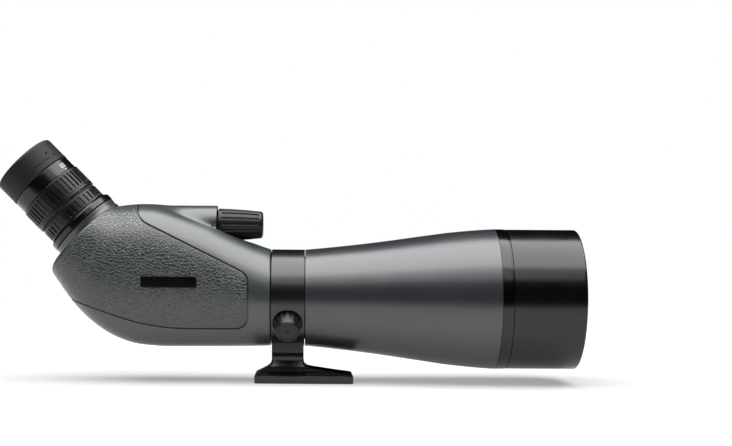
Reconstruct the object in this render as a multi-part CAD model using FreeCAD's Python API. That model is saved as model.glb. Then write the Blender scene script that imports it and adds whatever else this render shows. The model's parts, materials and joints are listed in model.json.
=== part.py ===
"""Angled 20-60x zoom spotting scope with an 80 mm objective, as separate solids, one STEP per piece.

Row frame, in millimetres: the origin is the mouth of the tripod thread in the foot's base, +Z is up,
+X runs forward along the tube, and the eyepiece leans back and up in the X-Z plane.
"""

import FreeCAD
import Part

import math
import os

V = FreeCAD.Vector

# ---------------------------------------------------------------- driving dimensions (mm, degrees)
AXIS_Z = 58.0            # optical axis above the foot's base
FIT = 0.05               # radial gap of parts that are screwed or cemented together
RUN = 0.10               # radial gap of parts that turn or slide on each other
WALL = 3.0               # housing wall

# collar and foot
COLLAR_REAR = -22.6
COLLAR_WIDTH = 22.8
NECK_R = 33.4            # collar, housing front and tube rear share this radius
SLEEVE_R = 28.6
SLEEVE_BORE_R = 26.4
SLEEVE_GRIP = 9.0        # length of sleeve held in the housing and in the tube
LINER = 0.6              # nylon liner between the sleeve and the collar
COLLAR_REAR_GAP = 0.6
COLLAR_FRONT_GAP = 0.3
FOOT_LENGTH = 67.5
FOOT_WIDTH = 43.0
FOOT_EDGE = 5.4          # thickness at the ends of the plate
COLUMN_WIDTH = 22.0
WAIST_HALF = 9.5         # half depth of the column at its narrowest
BLOCK_HALF = 13.0        # half depth of the block under the collar
TRIPOD_R = 2.6           # 1/4-20 thread, modelled at its tapping size
TRIPOD_DEPTH = 9.0
INSERT_R = 5.0
INSERT_FLANGE_R = 6.5
FOOT_SCREW_R = 2.0
FOOT_SCREW_HEAD_R = 3.5
FOOT_SCREW_Y = 5.4

# collar lock
LOCK_TILT = 30.0         # knob axis below the horizontal, on the -Y side
LOCK_SEAT_R = 9.8
LOCK_SEAT_OUT = 32.0     # flat seat from the optical axis
LOCK_KNOB_BASE_R = 8.8
LOCK_KNOB_FACE_R = 7.3
LOCK_KNOB_OUT = 44.3     # knob face from the optical axis
LOCK_SCREW_R = 2.5
SHOE_R = 4.2
SHOE_THICK = 1.0
LOCK_LIFT = 0.6          # shoe travel for one turn of the knob

# objective tube and front end
TUBE_FRONT = 131.0
TUBE_OUTLINE = [(0.26, 36.9), (0.44, 39.9), (0.61, 43.1), (0.78, 46.1)]   # (share of length, radius)
TUBE_WALL = 2.0
FRONT_RING_LENGTH = 7.6
HOOD_GAP = 0.3
FRONT_R = 48.4
HOOD_R = 48.2
HOOD_WALL = 1.8
HOOD_OVERHANG = 56.3     # hood, spigot and lens are placed from the tube's front edge
HOOD_FRONT = TUBE_FRONT + HOOD_OVERHANG
HOOD_LIP_R = 45.6
HOOD_LIP = 7.0
SPIGOT_FRONT = TUBE_FRONT + 46.0
SPIGOT_WALL = 2.1
FELT = 0.8
LENS_R = 41.5
APERTURE_R = 40.0
LENS_BACK = TUBE_FRONT + 19.0
LENS_SEAT = 2.0          # width of the ledge that the rear lens rests on
EDGE_CLEAR = 0.4         # lets a bulging face clear the flat ledge or ring at its rim
REAR_LENS_EDGE = 9.0
LENS_SPACE = 0.8
FRONT_LENS_EDGE = 7.0
CROWN_LIFT = 0.4         # bevel that the crown's rear rim stands on

# prism housing: top and bottom of each section of the skin, its half width and its squareness
HOUSING_SECTIONS = [
    ((-23.2, NECK_R), (-23.2, -NECK_R), NECK_R, 2.00),
    ((-33.0, 36.7), (-33.0, -33.7), 33.7, 2.05),
    ((-49.0, 43.4), (-49.0, -33.9), 34.8, 2.15),
    ((-66.0, 51.6), (-66.0, -34.0), 36.3, 2.30),
    ((-83.0, 57.7), (-83.0, -34.1), 37.6, 2.42),
    ((-100.0, 62.8), (-101.0, -33.9), 38.2, 2.48),
    ((-112.0, 64.0), (-120.0, -31.3), 38.0, 2.48),
    ((-121.0, 64.0), (-139.0, -22.6), 36.6, 2.42),
    ((-127.4, 64.0), (-157.5, -7.3), 34.2, 2.32),
    ((-131.3, 63.9), (-176.9, 18.3), 31.8, 2.20),
]
HOUSING_REAR_ROUND = 6.5
HUMP_R = 13.2
HUMP_FRONT = -60.8
HUMP_REAR = -113.0
HUMP_FLARE = 20.0
POCKET_R = HUMP_R - 0.8
ARMOUR = 1.2             # thickness of the rubber armour
ARMOUR_GAP = 0.7
ARMOUR_OUTLINE = [        # x, height above the axis and corner radius
    (-116.8, 90.0, 0.0), (-113.2, 53.4, 12.0), (-38.0, 16.1, 8.0), (-38.0, -20.6, 8.0),
    (-100.0, -20.8, 150.0), (-215.0, 16.0, 0.0), (-215.0, 90.0, 0.0)]
BADGE_SIZE = (37.0, 7.5)
BADGE_AT = (-90.7, 10.9)
BADGE_THICK = 0.5

# focus drive
FOCUS_UP = 50.3          # focus shaft above the optical axis
KNOB_REAR = -59.8
KNOB_FRONT = -29.0
KNOB_REAR_R = POCKET_R - 1.2
KNOB_FRONT_R = KNOB_REAR_R - 1.8
KNOB_CORE_R = KNOB_FRONT_R - 2.0
KNOB_FLUTES = 16
FOCUS_SHAFT_R = 3.0
FOCUS_SHAFT_REAR = -101.0
FOCUS_NUT = -84.0
FOCUS_NUT_LENGTH = 9.0
FOCUS_NUT_R = 6.5
FOCUS_CELL_R = 20.0
FOCUS_CELL_REAR = -82.0
FOCUS_CELL_LENGTH = 12.0
FOCUS_LENS_R = 17.5
GUIDE_ROD_R = 1.5
GUIDE_ROD_DOWN = 25.0
BUSH_R = 5.5

# prism: Schmidt roof prism that turns the axis by 45 degrees
PRISM_FRONT = -93.0
PRISM_LEG = 46.0
PRISM_TOP = 22.0
PRISM_WIDTH = 30.0
BULKHEAD_R = 28.2
BULKHEAD_THICK = 2.0
PRISM_APERTURE_R = 15.5
LUG_AT = (21.6, 12.5)    # frame screws, to each side of and above and below the axis
LUG_R = 3.6
FRAME_SCREW_R = 1.5

# eyepiece, heights along its own axis from the port face
EYE_TILT = 45.0
ZOOM_R = 24.2            # the eyepiece's other rings and tubes follow from it
PORT_X = -149.3
PORT_UP = 45.9
PORT_R = 25.5
PORT_BORE_R = 21.2
PORT_TOP = 4.7
FLANGE_R = 26.1
FLANGE_TOP = 10.5
LOCK_RING_R = ZOOM_R - 0.4
LOCK_RING_TOP = 20.0
LOCK_RING_RIBS = 36
BASE_R = ZOOM_R - 1.0
BASE_TOP = 21.7
ZOOM_TOP = 38.5
ZOOM_RIBS = 42
SCALE_R = ZOOM_R - 0.8
SCALE_TOP = 47.9
CUP_R = ZOOM_R - 0.7
CUP_TOP = 65.9
CUP_RIM_R = CUP_R - 6.5
BARREL_R = ZOOM_R - 3.8
BARREL_BORE_R = BARREL_R - 2.0
CAM_R = BARREL_BORE_R - 0.2
CAM_BORE_R = CAM_R - 1.4
GUIDE_R = CAM_BORE_R - 0.2
GUIDE_BORE_R = GUIDE_R - 1.4
CELL_R = GUIDE_BORE_R - 0.2
ZOOM_SWEEP = 150.0
FRONT_CELL_TRAVEL = -6.0
REAR_CELL_TRAVEL = 9.0
CAM_PIN_R = 1.1
CAM_SLOT_GAP = 0.3
CAM_STEPS = 10           # bars in each cam slot

# more driving values: laps, small screws and the cells
JOINT_LAP = 8.0          # screwed lap of the tube and the lens barrel
BAFFLE_R = 40.5          # bore of the barrel behind the objective
LENS_CELL_LENGTH = 24.0
FLANGE_SCREW_R = 0.8
BASE_FOOT = 0.4
SOCKET = 9.6             # depth of the barrel's socket in the base
EYE_LENS_R = CELL_R - 0.5
DRIVE_ANGLE = 105.0      # where the zoom drive screw stands at rest
CELL_LENGTH = 6.0
CAM_END = 3.2            # cam tube left beyond the last pin
GRIP_THICK = 1.9         # rubber and neck depth under the eyepiece's grips

# ---------------------------------------------------------------- values that follow from them
COLLAR_X = COLLAR_REAR + COLLAR_WIDTH / 2
COLLAR_FRONT = COLLAR_REAR + COLLAR_WIDTH
LINER_R = SLEEVE_R + RUN
COLLAR_BORE_R = LINER_R + LINER
FOOT_TOP_Z = AXIS_Z - NECK_R
TUBE_REAR = COLLAR_FRONT + COLLAR_FRONT_GAP
TUBE_LENGTH = TUBE_FRONT - TUBE_REAR
RING_FRONT = TUBE_FRONT + FRONT_RING_LENGTH
HOOD_REAR = RING_FRONT + HOOD_GAP
HOUSING_FRONT = COLLAR_REAR - COLLAR_REAR_GAP
SPIGOT_R = HOOD_R - HOOD_WALL - RUN
CELL_BORE_R = SPIGOT_R - SPIGOT_WALL
LAP_R = FRONT_R - TUBE_WALL - 1.4
REAR_LENS_BACK = LENS_BACK + EDGE_CLEAR
SPACER_BACK = REAR_LENS_BACK + REAR_LENS_EDGE
FRONT_LENS_BACK = SPACER_BACK + LENS_SPACE
RETAINER_BACK = FRONT_LENS_BACK + FRONT_LENS_EDGE + EDGE_CLEAR
CELL_FRONT = LENS_BACK + LENS_CELL_LENGTH
FRAME_REAR = PRISM_FRONT + 0.5
FRAME_FRONT = FRAME_REAR + BULKHEAD_THICK
BEARING = (FOCUS_SHAFT_REAR - 2.0, FOCUS_SHAFT_REAR + 4.0)
FLANGE_SCREW_AT = (PORT_BORE_R + PORT_R) / 2
BASE_NECK_R = LOCK_RING_R - GRIP_THICK
ZOOM_CORE_R = ZOOM_R - GRIP_THICK
BARREL_TOP = CUP_TOP - 3.6
DRIVE_Z = (BASE_TOP + ZOOM_TOP) / 2 - 2.0
FRONT_CELL_Z = DRIVE_Z - 9.0
REAR_CELL_Z = DRIVE_Z + 6.0
CAM_REAR = FRONT_CELL_Z + FRONT_CELL_TRAVEL + CELL_LENGTH / 2 - CAM_END
CAM_FRONT = REAR_CELL_Z + REAR_CELL_TRAVEL + CELL_LENGTH / 2 + CAM_END
GLIDE_R = BARREL_R + 0.9
CUP_BORE_R = GLIDE_R + 1.0


# ---------------------------------------------------------------- helpers
def along_x(shape, x=0.0, up=0.0):
    """Turn a shape made about local +Z so that it points along +X on a line above the optical axis."""
    shape.Placement = FreeCAD.Placement(V(x, 0, AXIS_Z + up), FreeCAD.Rotation(V(0, 1, 0), 90))
    return shape


def in_eyepiece(shape):
    """Place a shape made about local +Z on the eyepiece's axis, measured from the port face."""
    place = FreeCAD.Placement(V(PORT_X, 0, AXIS_Z + PORT_UP), FreeCAD.Rotation(V(0, 1, 0), -EYE_TILT))
    shape = shape.copy()
    shape.Placement = place.multiply(shape.Placement)
    return shape


def on_lock(shape):
    """Place a shape made about local +Z on the lock knob's radial axis, measured from the optical axis."""
    x = COLLAR_REAR + COLLAR_WIDTH / 2
    place = FreeCAD.Placement(V(x, 0, AXIS_Z), FreeCAD.Rotation(V(1, 0, 0), 90 + LOCK_TILT))
    shape = shape.copy()
    shape.Placement = place.multiply(shape.Placement)
    return shape


def disc(r, z0, z1):
    return Part.makeCylinder(r, z1 - z0, V(0, 0, z0))


def ring(r_out, r_in, z0, z1):
    return disc(r_out, z0, z1).cut(disc(r_in, z0 - 1, z1 + 1))


def turned(profile):
    """Solid of revolution about local +Z from a closed outline of (radius, height) points."""
    points = [V(r, 0, z) for r, z in profile]
    return Part.Face(Part.makePolygon(points + points[:1])).revolve(V(0, 0, 0), V(0, 0, 1), 360)


def box(x0, x1, y0, y1, z0, z1):
    return Part.makeBox(x1 - x0, y1 - y0, z1 - z0, V(x0, y0, z0))


def fillet_circles(shape, radius, wanted):
    """Round the circular edges whose (radius, height) is wanted."""
    edges = []
    for edge in shape.Edges:
        if not isinstance(edge.Curve, Part.Circle):
            continue
        for r, z in wanted:
            if abs(edge.Curve.Radius - r) < 0.01 and abs(edge.Curve.Center.z - z) < 0.01:
                edges.append(edge)
    return shape.makeFillet(radius, edges)


def fused(shapes):
    return shapes[0].multiFuse(shapes[1:]) if len(shapes) > 1 else shapes[0]


PARTS = {}


def keep(name, *solids):
    """Record a sub-part: one solid, or several separate ones as a group."""
    PARTS[name] = solids


# ---------------------------------------------------------------- stand: collar, foot and lock


def collar_ring():
    """Ring of the stand, with the flat seat and the threaded hole of its lock screw."""
    body = along_x(ring(NECK_R, COLLAR_BORE_R, 0, COLLAR_WIDTH), COLLAR_REAR)
    edges = [e for e in body.Edges if isinstance(e.Curve, Part.Circle) and e.Curve.Radius > NECK_R - 0.1]
    body = body.makeChamfer(0.4, edges)
    seat = disc(LOCK_SEAT_R, LOCK_SEAT_OUT, NECK_R + 5)
    hub = disc(LOCK_SCREW_R + 1.8, LOCK_SEAT_OUT - 1, NECK_R)
    pocket = disc(SHOE_R + RUN, 0, LINER_R + SHOE_THICK + LOCK_LIFT + 0.1)
    hole = disc(LOCK_SCREW_R + FIT, 0, NECK_R + 5)
    body = body.cut(on_lock(seat)).fuse(on_lock(hub))
    body = body.cut([on_lock(pocket), on_lock(hole)])
    holes = []
    for y in foot_screw_ys():
        holes.append(Part.makeCylinder(FOOT_SCREW_R + FIT, 8, V(COLLAR_X, y, FOOT_TOP_Z - 4)))
    dot = Part.makeCylinder(0.6, 2, V(COLLAR_X, -NECK_R - 1.6, AXIS_Z), V(0, 1, 0))
    return body.cut(holes + [dot])


def collar_liner():
    """Plain nylon bush that the sleeve turns in, open where the lock shoe comes through."""
    body = along_x(ring(COLLAR_BORE_R - 0.02, LINER_R, 0, COLLAR_WIDTH), COLLAR_REAR)
    return body.cut(on_lock(disc(SHOE_R + RUN, 0, NECK_R)))


def foot_screw_ys():
    return (-FOOT_SCREW_Y, FOOT_SCREW_Y)


def side_profile():
    """Foot seen from the side: a plate with sloping wings and a straight column."""
    half = FOOT_LENGTH / 2
    rear, front = COLLAR_X - COLUMN_WIDTH / 2, COLLAR_X + COLUMN_WIDTH / 2
    top = FOOT_TOP_Z + 3.0
    front_side = [(half, 0), (half, FOOT_EDGE), (front + 3.0, 10.4), (front + 0.7, 12.4), (front, 15.5)]
    rear_side = [(rear, 15.5), (rear - 0.7, 12.4), (rear - 3.4, 10.0), (-half, FOOT_EDGE), (-half, 0)]
    points = front_side + [(front, top), (rear, top)] + rear_side
    return Part.Face(Part.makePolygon([V(x, 0, z) for x, z in points + points[:1]]))


def end_profile():
    """Foot seen from its end: the plate flares up into a narrow waist and a wider block."""
    half = FOOT_WIDTH / 2
    top = FOOT_TOP_Z + 3.0
    right = [(half, 0), (half, FOOT_EDGE), (half - 6.5, 7.4), (WAIST_HALF + 2.4, 10.8), (WAIST_HALF, 15.0),
             (WAIST_HALF + 0.8, 18.0), (BLOCK_HALF, 20.8), (BLOCK_HALF, top)]
    left = [(-y, z) for y, z in reversed(right)]
    points = right + left
    return Part.Face(Part.makePolygon([V(0, y, z) for y, z in points + points[:1]]))


def tripod_foot():
    """Foot casting: side and end profiles crossed, with a cradle for the collar and counterbored screws."""
    side = side_profile().extrude(V(0, FOOT_WIDTH, 0))
    side.translate(V(0, -FOOT_WIDTH / 2, 0))
    end = end_profile().extrude(V(FOOT_LENGTH, 0, 0))
    end.translate(V(-FOOT_LENGTH / 2, 0, 0))
    body = side.common(end)
    cradle = along_x(disc(NECK_R + 0.02, 0, COLLAR_WIDTH + 20), COLLAR_REAR - 10)
    insert = Part.makeCylinder(INSERT_R + FIT, TRIPOD_DEPTH + 1)
    flange = Part.makeCylinder(INSERT_FLANGE_R + FIT, 1.2)
    cuts = [cradle, insert, flange]
    for y in foot_screw_ys():
        cuts.append(Part.makeCylinder(FOOT_SCREW_R + 0.2, 40, V(COLLAR_X, y, 0)))
        cuts.append(Part.makeCylinder(FOOT_SCREW_HEAD_R + 0.3, 8, V(COLLAR_X, y, 0)))
    body = body.cut(cuts)
    corners = [e for e in body.Edges if vertical_corner(e)]
    return body.makeFillet(1.6, corners)


def vertical_corner(edge):
    """True for the four upright edges at the ends of the foot's plate."""
    box_ = edge.BoundBox
    upright = box_.ZLength > FOOT_EDGE - 0.2 and box_.XLength < 0.01 and box_.YLength < 0.01
    return upright and abs(box_.XMin) > FOOT_LENGTH / 2 - 0.1


def tripod_insert():
    """Brass insert with the tripod thread, flanged at the foot's base."""
    body = Part.makeCylinder(INSERT_R, TRIPOD_DEPTH + 0.8)
    body = body.fuse(Part.makeCylinder(INSERT_FLANGE_R, 1.0))
    return body.cut(Part.makeCylinder(TRIPOD_R, TRIPOD_DEPTH))


def foot_screws():
    """Two socket screws that come up through the foot into the collar."""
    screws = []
    for y in foot_screw_ys():
        shank = Part.makeCylinder(FOOT_SCREW_R, FOOT_TOP_Z + 2.2 - 5, V(COLLAR_X, y, 5))
        head = Part.makeCylinder(FOOT_SCREW_HEAD_R, 4, V(COLLAR_X, y, 4))
        socket = hexagon(1.5, 2.4)
        socket.translate(V(COLLAR_X, y, 4))
        screws.append(shank.fuse(head).cut(socket))
    return screws


def hexagon(half_flats, depth):
    corner = half_flats / math.cos(math.radians(30))
    points = [V(corner * math.cos(math.radians(60 * k)), corner * math.sin(math.radians(60 * k)), 0)
              for k in range(7)]
    return Part.Face(Part.makePolygon(points)).extrude(V(0, 0, depth))


def lock_shoe():
    """Nylon shoe that the lock screw presses on the sleeve, hollowed to the sleeve's radius."""
    body = disc(SHOE_R, LINER_R - 1.0, LINER_R + SHOE_THICK)
    sleeve = Part.makeCylinder(LINER_R, 40, V(-20, 0, 0), V(1, 0, 0))
    return on_lock(body.cut(sleeve))


def lock_knob():
    """Knob with a hollow underside round the collar's hub and a dished face with a dimple."""
    base = LOCK_SEAT_OUT + 0.7
    face = LOCK_KNOB_OUT
    outline = [(LOCK_SCREW_R + FIT, base + 2.6), (LOCK_SCREW_R + 2.4, base + 2.6), (LOCK_SCREW_R + 2.4, base),
               (LOCK_KNOB_BASE_R, base), (LOCK_KNOB_BASE_R, base + 3.2),
               (LOCK_KNOB_FACE_R + 0.5, face - 0.5), (LOCK_KNOB_FACE_R, face), (LOCK_KNOB_FACE_R - 1.0, face),
               (LOCK_KNOB_FACE_R - 1.2, face - 0.5), (1.1, face - 0.5), (0.8, face - 1.2), (0, face - 1.2),
               (0, face - 2.6), (LOCK_SCREW_R + FIT, face - 2.6)]
    body = turned(outline)
    for k in range(14):
        flute = Part.makeCylinder(0.9, 6.4, V(LOCK_KNOB_BASE_R + 0.35, 0, base - 0.5), V(-0.13, 0, 1))
        flute.rotate(V(0, 0, 0), V(0, 0, 1), 360 / 14 * k)
        body = body.cut(flute)
    return on_lock(body)


def lock_screw():
    """Threaded stud fixed in the knob; its tip bears on the shoe."""
    tip = LINER_R + SHOE_THICK + 0.02
    return on_lock(disc(LOCK_SCREW_R, tip, LOCK_KNOB_OUT - 2.6 - FIT))


# ---------------------------------------------------------------- objective tube and hood


def collar_sleeve():
    """Bright sleeve that the collar turns on; it joins the housing to the objective tube."""
    rear = HOUSING_FRONT - SLEEVE_GRIP
    return along_x(ring(SLEEVE_R, SLEEVE_BORE_R, 0, TUBE_REAR + SLEEVE_GRIP - rear), rear)


def tube_curve(inset):
    """Spline through the tube's radii, inset by a wall; returned in (radius, height) about local +Z."""
    points = [V(NECK_R - inset, 0, 0)]
    points += [V(r - inset, 0, share * TUBE_LENGTH) for share, r in TUBE_OUTLINE]
    points.append(V(FRONT_R - inset, 0, TUBE_LENGTH))
    curve = Part.BSplineCurve()
    curve.interpolate(points, InitialTangent=V(1.6, 0, 20), FinalTangent=V(0.8, 0, 20))
    return curve.toShape()


def tube_solid(inset):
    edge = tube_curve(inset)
    rest = [V(FRONT_R - inset, 0, TUBE_LENGTH), V(0, 0, TUBE_LENGTH), V(0, 0, 0), V(NECK_R - inset, 0, 0)]
    return Part.Face(Part.Wire([edge] + Part.makePolygon(rest).Edges)).revolve(V(0, 0, 0), V(0, 0, 1), 360)


def objective_tube():
    """Flared grey tube: thick at the sleeve, thin along its length and stepped for the lens barrel."""
    inner = tube_solid(TUBE_WALL).cut(disc(60, -1, SLEEVE_GRIP + 2))
    inner = inner.fuse(disc(LAP_R + FIT, TUBE_LENGTH - JOINT_LAP, TUBE_LENGTH + 1))
    body = tube_solid(0).cut([inner, disc(SLEEVE_R + FIT, -1, SLEEVE_GRIP + FIT)])
    return along_x(body.cut(disc(SLEEVE_BORE_R, -1, SLEEVE_GRIP + 3)), TUBE_REAR)


def lens_barrel():
    """Black front ring with a rear lap into the tube and a long spigot that the hood slides on."""
    z_lap, z_ring = TUBE_FRONT - JOINT_LAP + 0.2, TUBE_FRONT
    outside = [(LAP_R, z_lap), (LAP_R, z_ring), (FRONT_R, z_ring), (FRONT_R, RING_FRONT),
               (SPIGOT_R, RING_FRONT), (SPIGOT_R, SPIGOT_FRONT)]
    inside = [(CELL_BORE_R, SPIGOT_FRONT), (CELL_BORE_R, LENS_BACK - 4), (BAFFLE_R, LENS_BACK - 4),
              (BAFFLE_R, z_lap)]
    outline = outside + inside
    body = fillet_circles(turned(outline), 0.35, [(FRONT_R, z_ring), (FRONT_R, RING_FRONT)])
    return along_x(body.cut(ring(SPIGOT_R + 1, SPIGOT_R - FELT, SPIGOT_FRONT - 9, SPIGOT_FRONT - 3)))


def hood():
    """Sliding sunshade with a rolled front rim that stops it against the spigot."""
    lip_rear = HOOD_FRONT - HOOD_LIP
    outline = [(HOOD_R, HOOD_REAR), (HOOD_R, HOOD_FRONT), (HOOD_LIP_R, HOOD_FRONT), (HOOD_LIP_R, lip_rear),
               (HOOD_R - HOOD_WALL, lip_rear - 1.0), (HOOD_R - HOOD_WALL, HOOD_REAR)]
    body = turned(outline)
    body = fillet_circles(body, 1.3, [(HOOD_R, HOOD_FRONT)])
    body = fillet_circles(body, 0.9, [(HOOD_LIP_R, HOOD_FRONT)])
    return along_x(fillet_circles(body, 0.3, [(HOOD_R, HOOD_REAR)]))


def hood_felt():
    """Felt strip let into the spigot that gives the hood its drag."""
    return along_x(ring(SPIGOT_R + 0.02, SPIGOT_R - FELT, SPIGOT_FRONT - 9, SPIGOT_FRONT - 3))


def lens_cell():
    """Cup that holds both objective lenses in the barrel's bore."""
    back, front = LENS_BACK, CELL_FRONT
    outline = [(CELL_BORE_R - FIT, back - 4), (CELL_BORE_R - FIT, front), (LENS_R + FIT, front),
               (LENS_R + FIT, back), (LENS_R - LENS_SEAT, back), (LENS_R - LENS_SEAT, back - 4)]
    return along_x(turned(outline))


def lens(r, z_back, z_front, r_back, r_front):
    """Round lens with spherical faces. Edge from z_back to z_front; a positive radius bulges outwards."""
    def sag(curve, reach):
        deep = abs(curve) - math.sqrt(curve * curve - reach * reach)
        return math.copysign(deep, curve)

    front = [V(x, 0, z_front + sag(r_front, r) - sag(r_front, x)) for x in (r, r / 2, 0)]
    back = [V(x, 0, z_back - sag(r_back, r) + sag(r_back, x)) for x in (r, r / 2, 0)]
    edges = [Part.Arc(*front).toShape(), Part.makeLine(front[2], back[2]), Part.Arc(*back).toShape(),
             Part.makeLine(back[0], front[0])]
    wire = Part.Wire(Part.__sortEdges__(edges))
    return Part.Face(wire).revolve(V(0, 0, 0), V(0, 0, 1), 360)


def objective_rear_lens():
    """Flint element, hollow in front."""
    return along_x(lens(LENS_R, REAR_LENS_BACK, SPACER_BACK, 300.0, -190.0))


def lens_spacer():
    """Thin ring that keeps the rims of the two elements apart."""
    return along_x(ring(LENS_R, LENS_R - 1.5, SPACER_BACK, FRONT_LENS_BACK))


def objective_front_lens():
    """Crown element, bulging on both faces; its rear lies in the hollow of the flint."""
    edge_back = FRONT_LENS_BACK + CROWN_LIFT
    return along_x(lens(LENS_R, edge_back, FRONT_LENS_BACK + FRONT_LENS_EDGE, 200.0, 230.0))


def lens_retainer():
    """Threaded ring that holds the elements in the cell, with two spanner slots."""
    body = ring(LENS_R, APERTURE_R, RETAINER_BACK, CELL_FRONT)
    for turn in (0, 180):
        slot = box(APERTURE_R - 1, LENS_R + 1, -1.2, 1.2, CELL_FRONT - 1.5, CELL_FRONT + 1)
        slot.rotate(V(0, 0, 0), V(0, 0, 1), turn)
        body = body.cut(slot)
    return along_x(body)


# ---------------------------------------------------------------- prism housing
def section(top, bottom, half_width, power, inset):
    """Closed superellipse through a top and a bottom point of the skin, inset by a wall."""
    top_v, bottom_v = V(top[0], 0, AXIS_Z + top[1]), V(bottom[0], 0, AXIS_Z + bottom[1])
    up = (top_v - bottom_v).normalize()
    centre = (top_v + bottom_v) * 0.5
    half_up = (top_v - bottom_v).Length / 2 - inset
    half_side = half_width - inset
    points = []
    for k in range(32):
        turn = 2 * math.pi * k / 32
        c, s = math.cos(turn), math.sin(turn)
        side = half_side * math.copysign(abs(c) ** (2 / power), c)
        rise = half_up * math.copysign(abs(s) ** (2 / power), s)
        points.append(centre + up * rise + V(0, side, 0))
    curve = Part.BSplineCurve()
    curve.interpolate(points, PeriodicFlag=True)
    return Part.Wire([curve.toShape()])


def skin(inset):
    """Lofted body of the housing from the collar to the port plane."""
    wires = [section(top, bottom, half, power, inset) for top, bottom, half, power in HOUSING_SECTIONS]
    return Part.makeLoft(wires, True, False)


def rounded_skin(inset):
    """The same body with the edge of its port plane rounded."""
    body = skin(inset)
    edges = [e for e in body.Edges if e.BoundBox.ZLength > 20 and e.BoundBox.YLength > 20]
    edges = [e for e in edges if e.BoundBox.XMin < PORT_X]
    return body.makeFillet(HOUSING_REAR_ROUND - inset, edges)


def rounded_outline(points):
    """Face in the X-Z plane from (x, height above the axis, corner radius) points."""
    edges = []
    start = None
    count = len(points)
    corners = []
    for k in range(count):
        x, up, radius = points[k]
        here = V(x, 0, AXIS_Z + up)
        before = V(points[k - 1][0], 0, AXIS_Z + points[k - 1][1])
        after = V(points[(k + 1) % count][0], 0, AXIS_Z + points[(k + 1) % count][1])
        into, out = (before - here).normalize(), (after - here).normalize()
        half = into.getAngle(out) / 2
        back = radius / math.tan(half)
        middle = here + (into + out).normalize() * (radius / math.sin(half) - radius)
        corners.append((here + into * back, middle, here + out * back, radius))
    for k in range(count):
        first, middle, last, radius = corners[k]
        if radius > 0:
            edges.append(Part.Arc(first, middle, last).toShape())
        edges.append(Part.makeLine(last, corners[(k + 1) % count][0]))
    return Part.Face(Part.Wire(edges))


def armour_region(gap):
    """Block through the housing, bounded by the armour's outline less a gap."""
    face = rounded_outline(ARMOUR_OUTLINE)
    if gap > 0:
        face = face.makeOffset2D(-gap)
    block = face.extrude(V(0, 120, 0))
    block.translate(V(0, -60, 0))
    return block


def hump(inset):
    """Housing of the focus drive: a half-round ridge that widens and sinks into the skin towards the rear."""
    top = FOCUS_UP + HUMP_R
    front = Part.makeCircle(HUMP_R - inset, V(HUMP_FRONT - inset, 0, AXIS_Z + FOCUS_UP), V(1, 0, 0))
    rear_up = top - HUMP_FLARE
    rear = Part.makeCircle(HUMP_FLARE - inset, V(HUMP_REAR + inset, 0, AXIS_Z + rear_up), V(1, 0, 0))
    return Part.makeLoft([Part.Wire([front]), Part.Wire([rear])], True, True)


def focus_cylinder(r, x0, x1):
    return along_x(disc(r, x0, x1), 0, FOCUS_UP)


def behind_port(depth):
    """Everything more than a depth below the port face."""
    return in_eyepiece(Part.makeBox(400, 400, 400, V(-200, -200, -depth - 400)))


def cavity():
    """Hollow of the housing, kept a wall away from the focus pocket."""
    front = HOUSING_FRONT - SLEEVE_GRIP - 3
    hollow = skin(WALL).common(behind_port(WALL)).common(box(-300, front, -60, 60, 0, 200))
    hollow = hollow.cut(focus_cylinder(POCKET_R + WALL, HUMP_FRONT - WALL, 0))
    return hollow.fuse(hump(WALL))


def lugs():
    """Four lugs cast inside the housing that the prism frame is screwed to."""
    side, up = LUG_AT
    found = []
    for sign_y in (-1, 1):
        for sign_z in (-1, 1):
            y0, y1 = sorted((sign_y * (side - LUG_R), sign_y * 40))
            z_mid = AXIS_Z + sign_z * up
            block = box(FRAME_REAR - 7, FRAME_REAR, y0, y1, z_mid - LUG_R, z_mid + LUG_R)
            hole = Part.makeCylinder(FRAME_SCREW_R + FIT, 6, V(FRAME_REAR, sign_y * side, z_mid), V(-1, 0, 0))
            found.append(block.cut(hole))
    return found


def prism_housing():
    """Cast body: skin, focus hump and port neck outside; cavity, lugs and rear shaft bearing inside."""
    outer = rounded_skin(0).cut(focus_cylinder(POCKET_R, HUMP_FRONT - 5, 0))
    neck = in_eyepiece(disc(PORT_R, -8, PORT_TOP))
    outer = outer.multiFuse([hump(0), neck])
    recess = armour_region(0).cut(skin(ARMOUR)).cut(in_eyepiece(disc(PORT_R, -30, 40))).cut(hump(0))
    shell = outer.cut([cavity(), recess])
    rib = box(BEARING[0], BEARING[1], -6, 6, AXIS_Z + FOCUS_UP - 6, AXIS_Z + FOCUS_UP + HUMP_R - 1)
    rib = rib.common(hump(0.5))
    shell = shell.multiFuse([lug.common(skin(WALL / 2 + ARMOUR / 2)) for lug in lugs()] + [rib])
    cuts = [focus_cylinder(FOCUS_SHAFT_R + RUN, FOCUS_SHAFT_REAR - FIT, HUMP_FRONT),
            focus_cylinder(BUSH_R + FIT, HUMP_FRONT - WALL - 1, HUMP_FRONT + 1),
            in_eyepiece(disc(PORT_BORE_R, -40, PORT_TOP + 1)),
            along_x(disc(SLEEVE_R + FIT, HOUSING_FRONT - SLEEVE_GRIP - 3.2, HOUSING_FRONT + 1))]
    for k in range(4):
        hole = disc(FLANGE_SCREW_R + FIT, 1.0, PORT_TOP + 1)
        cuts.append(in_eyepiece(at_angle(hole, FLANGE_SCREW_AT, 45 + 90 * k)))
    return shell.cut(cuts)


def at_angle(shape, r, degrees):
    """Copy of a shape moved out to a radius and turned about local +Z."""
    moved = shape.copy()
    moved.translate(V(r, 0, 0))
    moved.rotate(V(0, 0, 0), V(0, 0, 1), degrees)
    return moved


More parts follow.
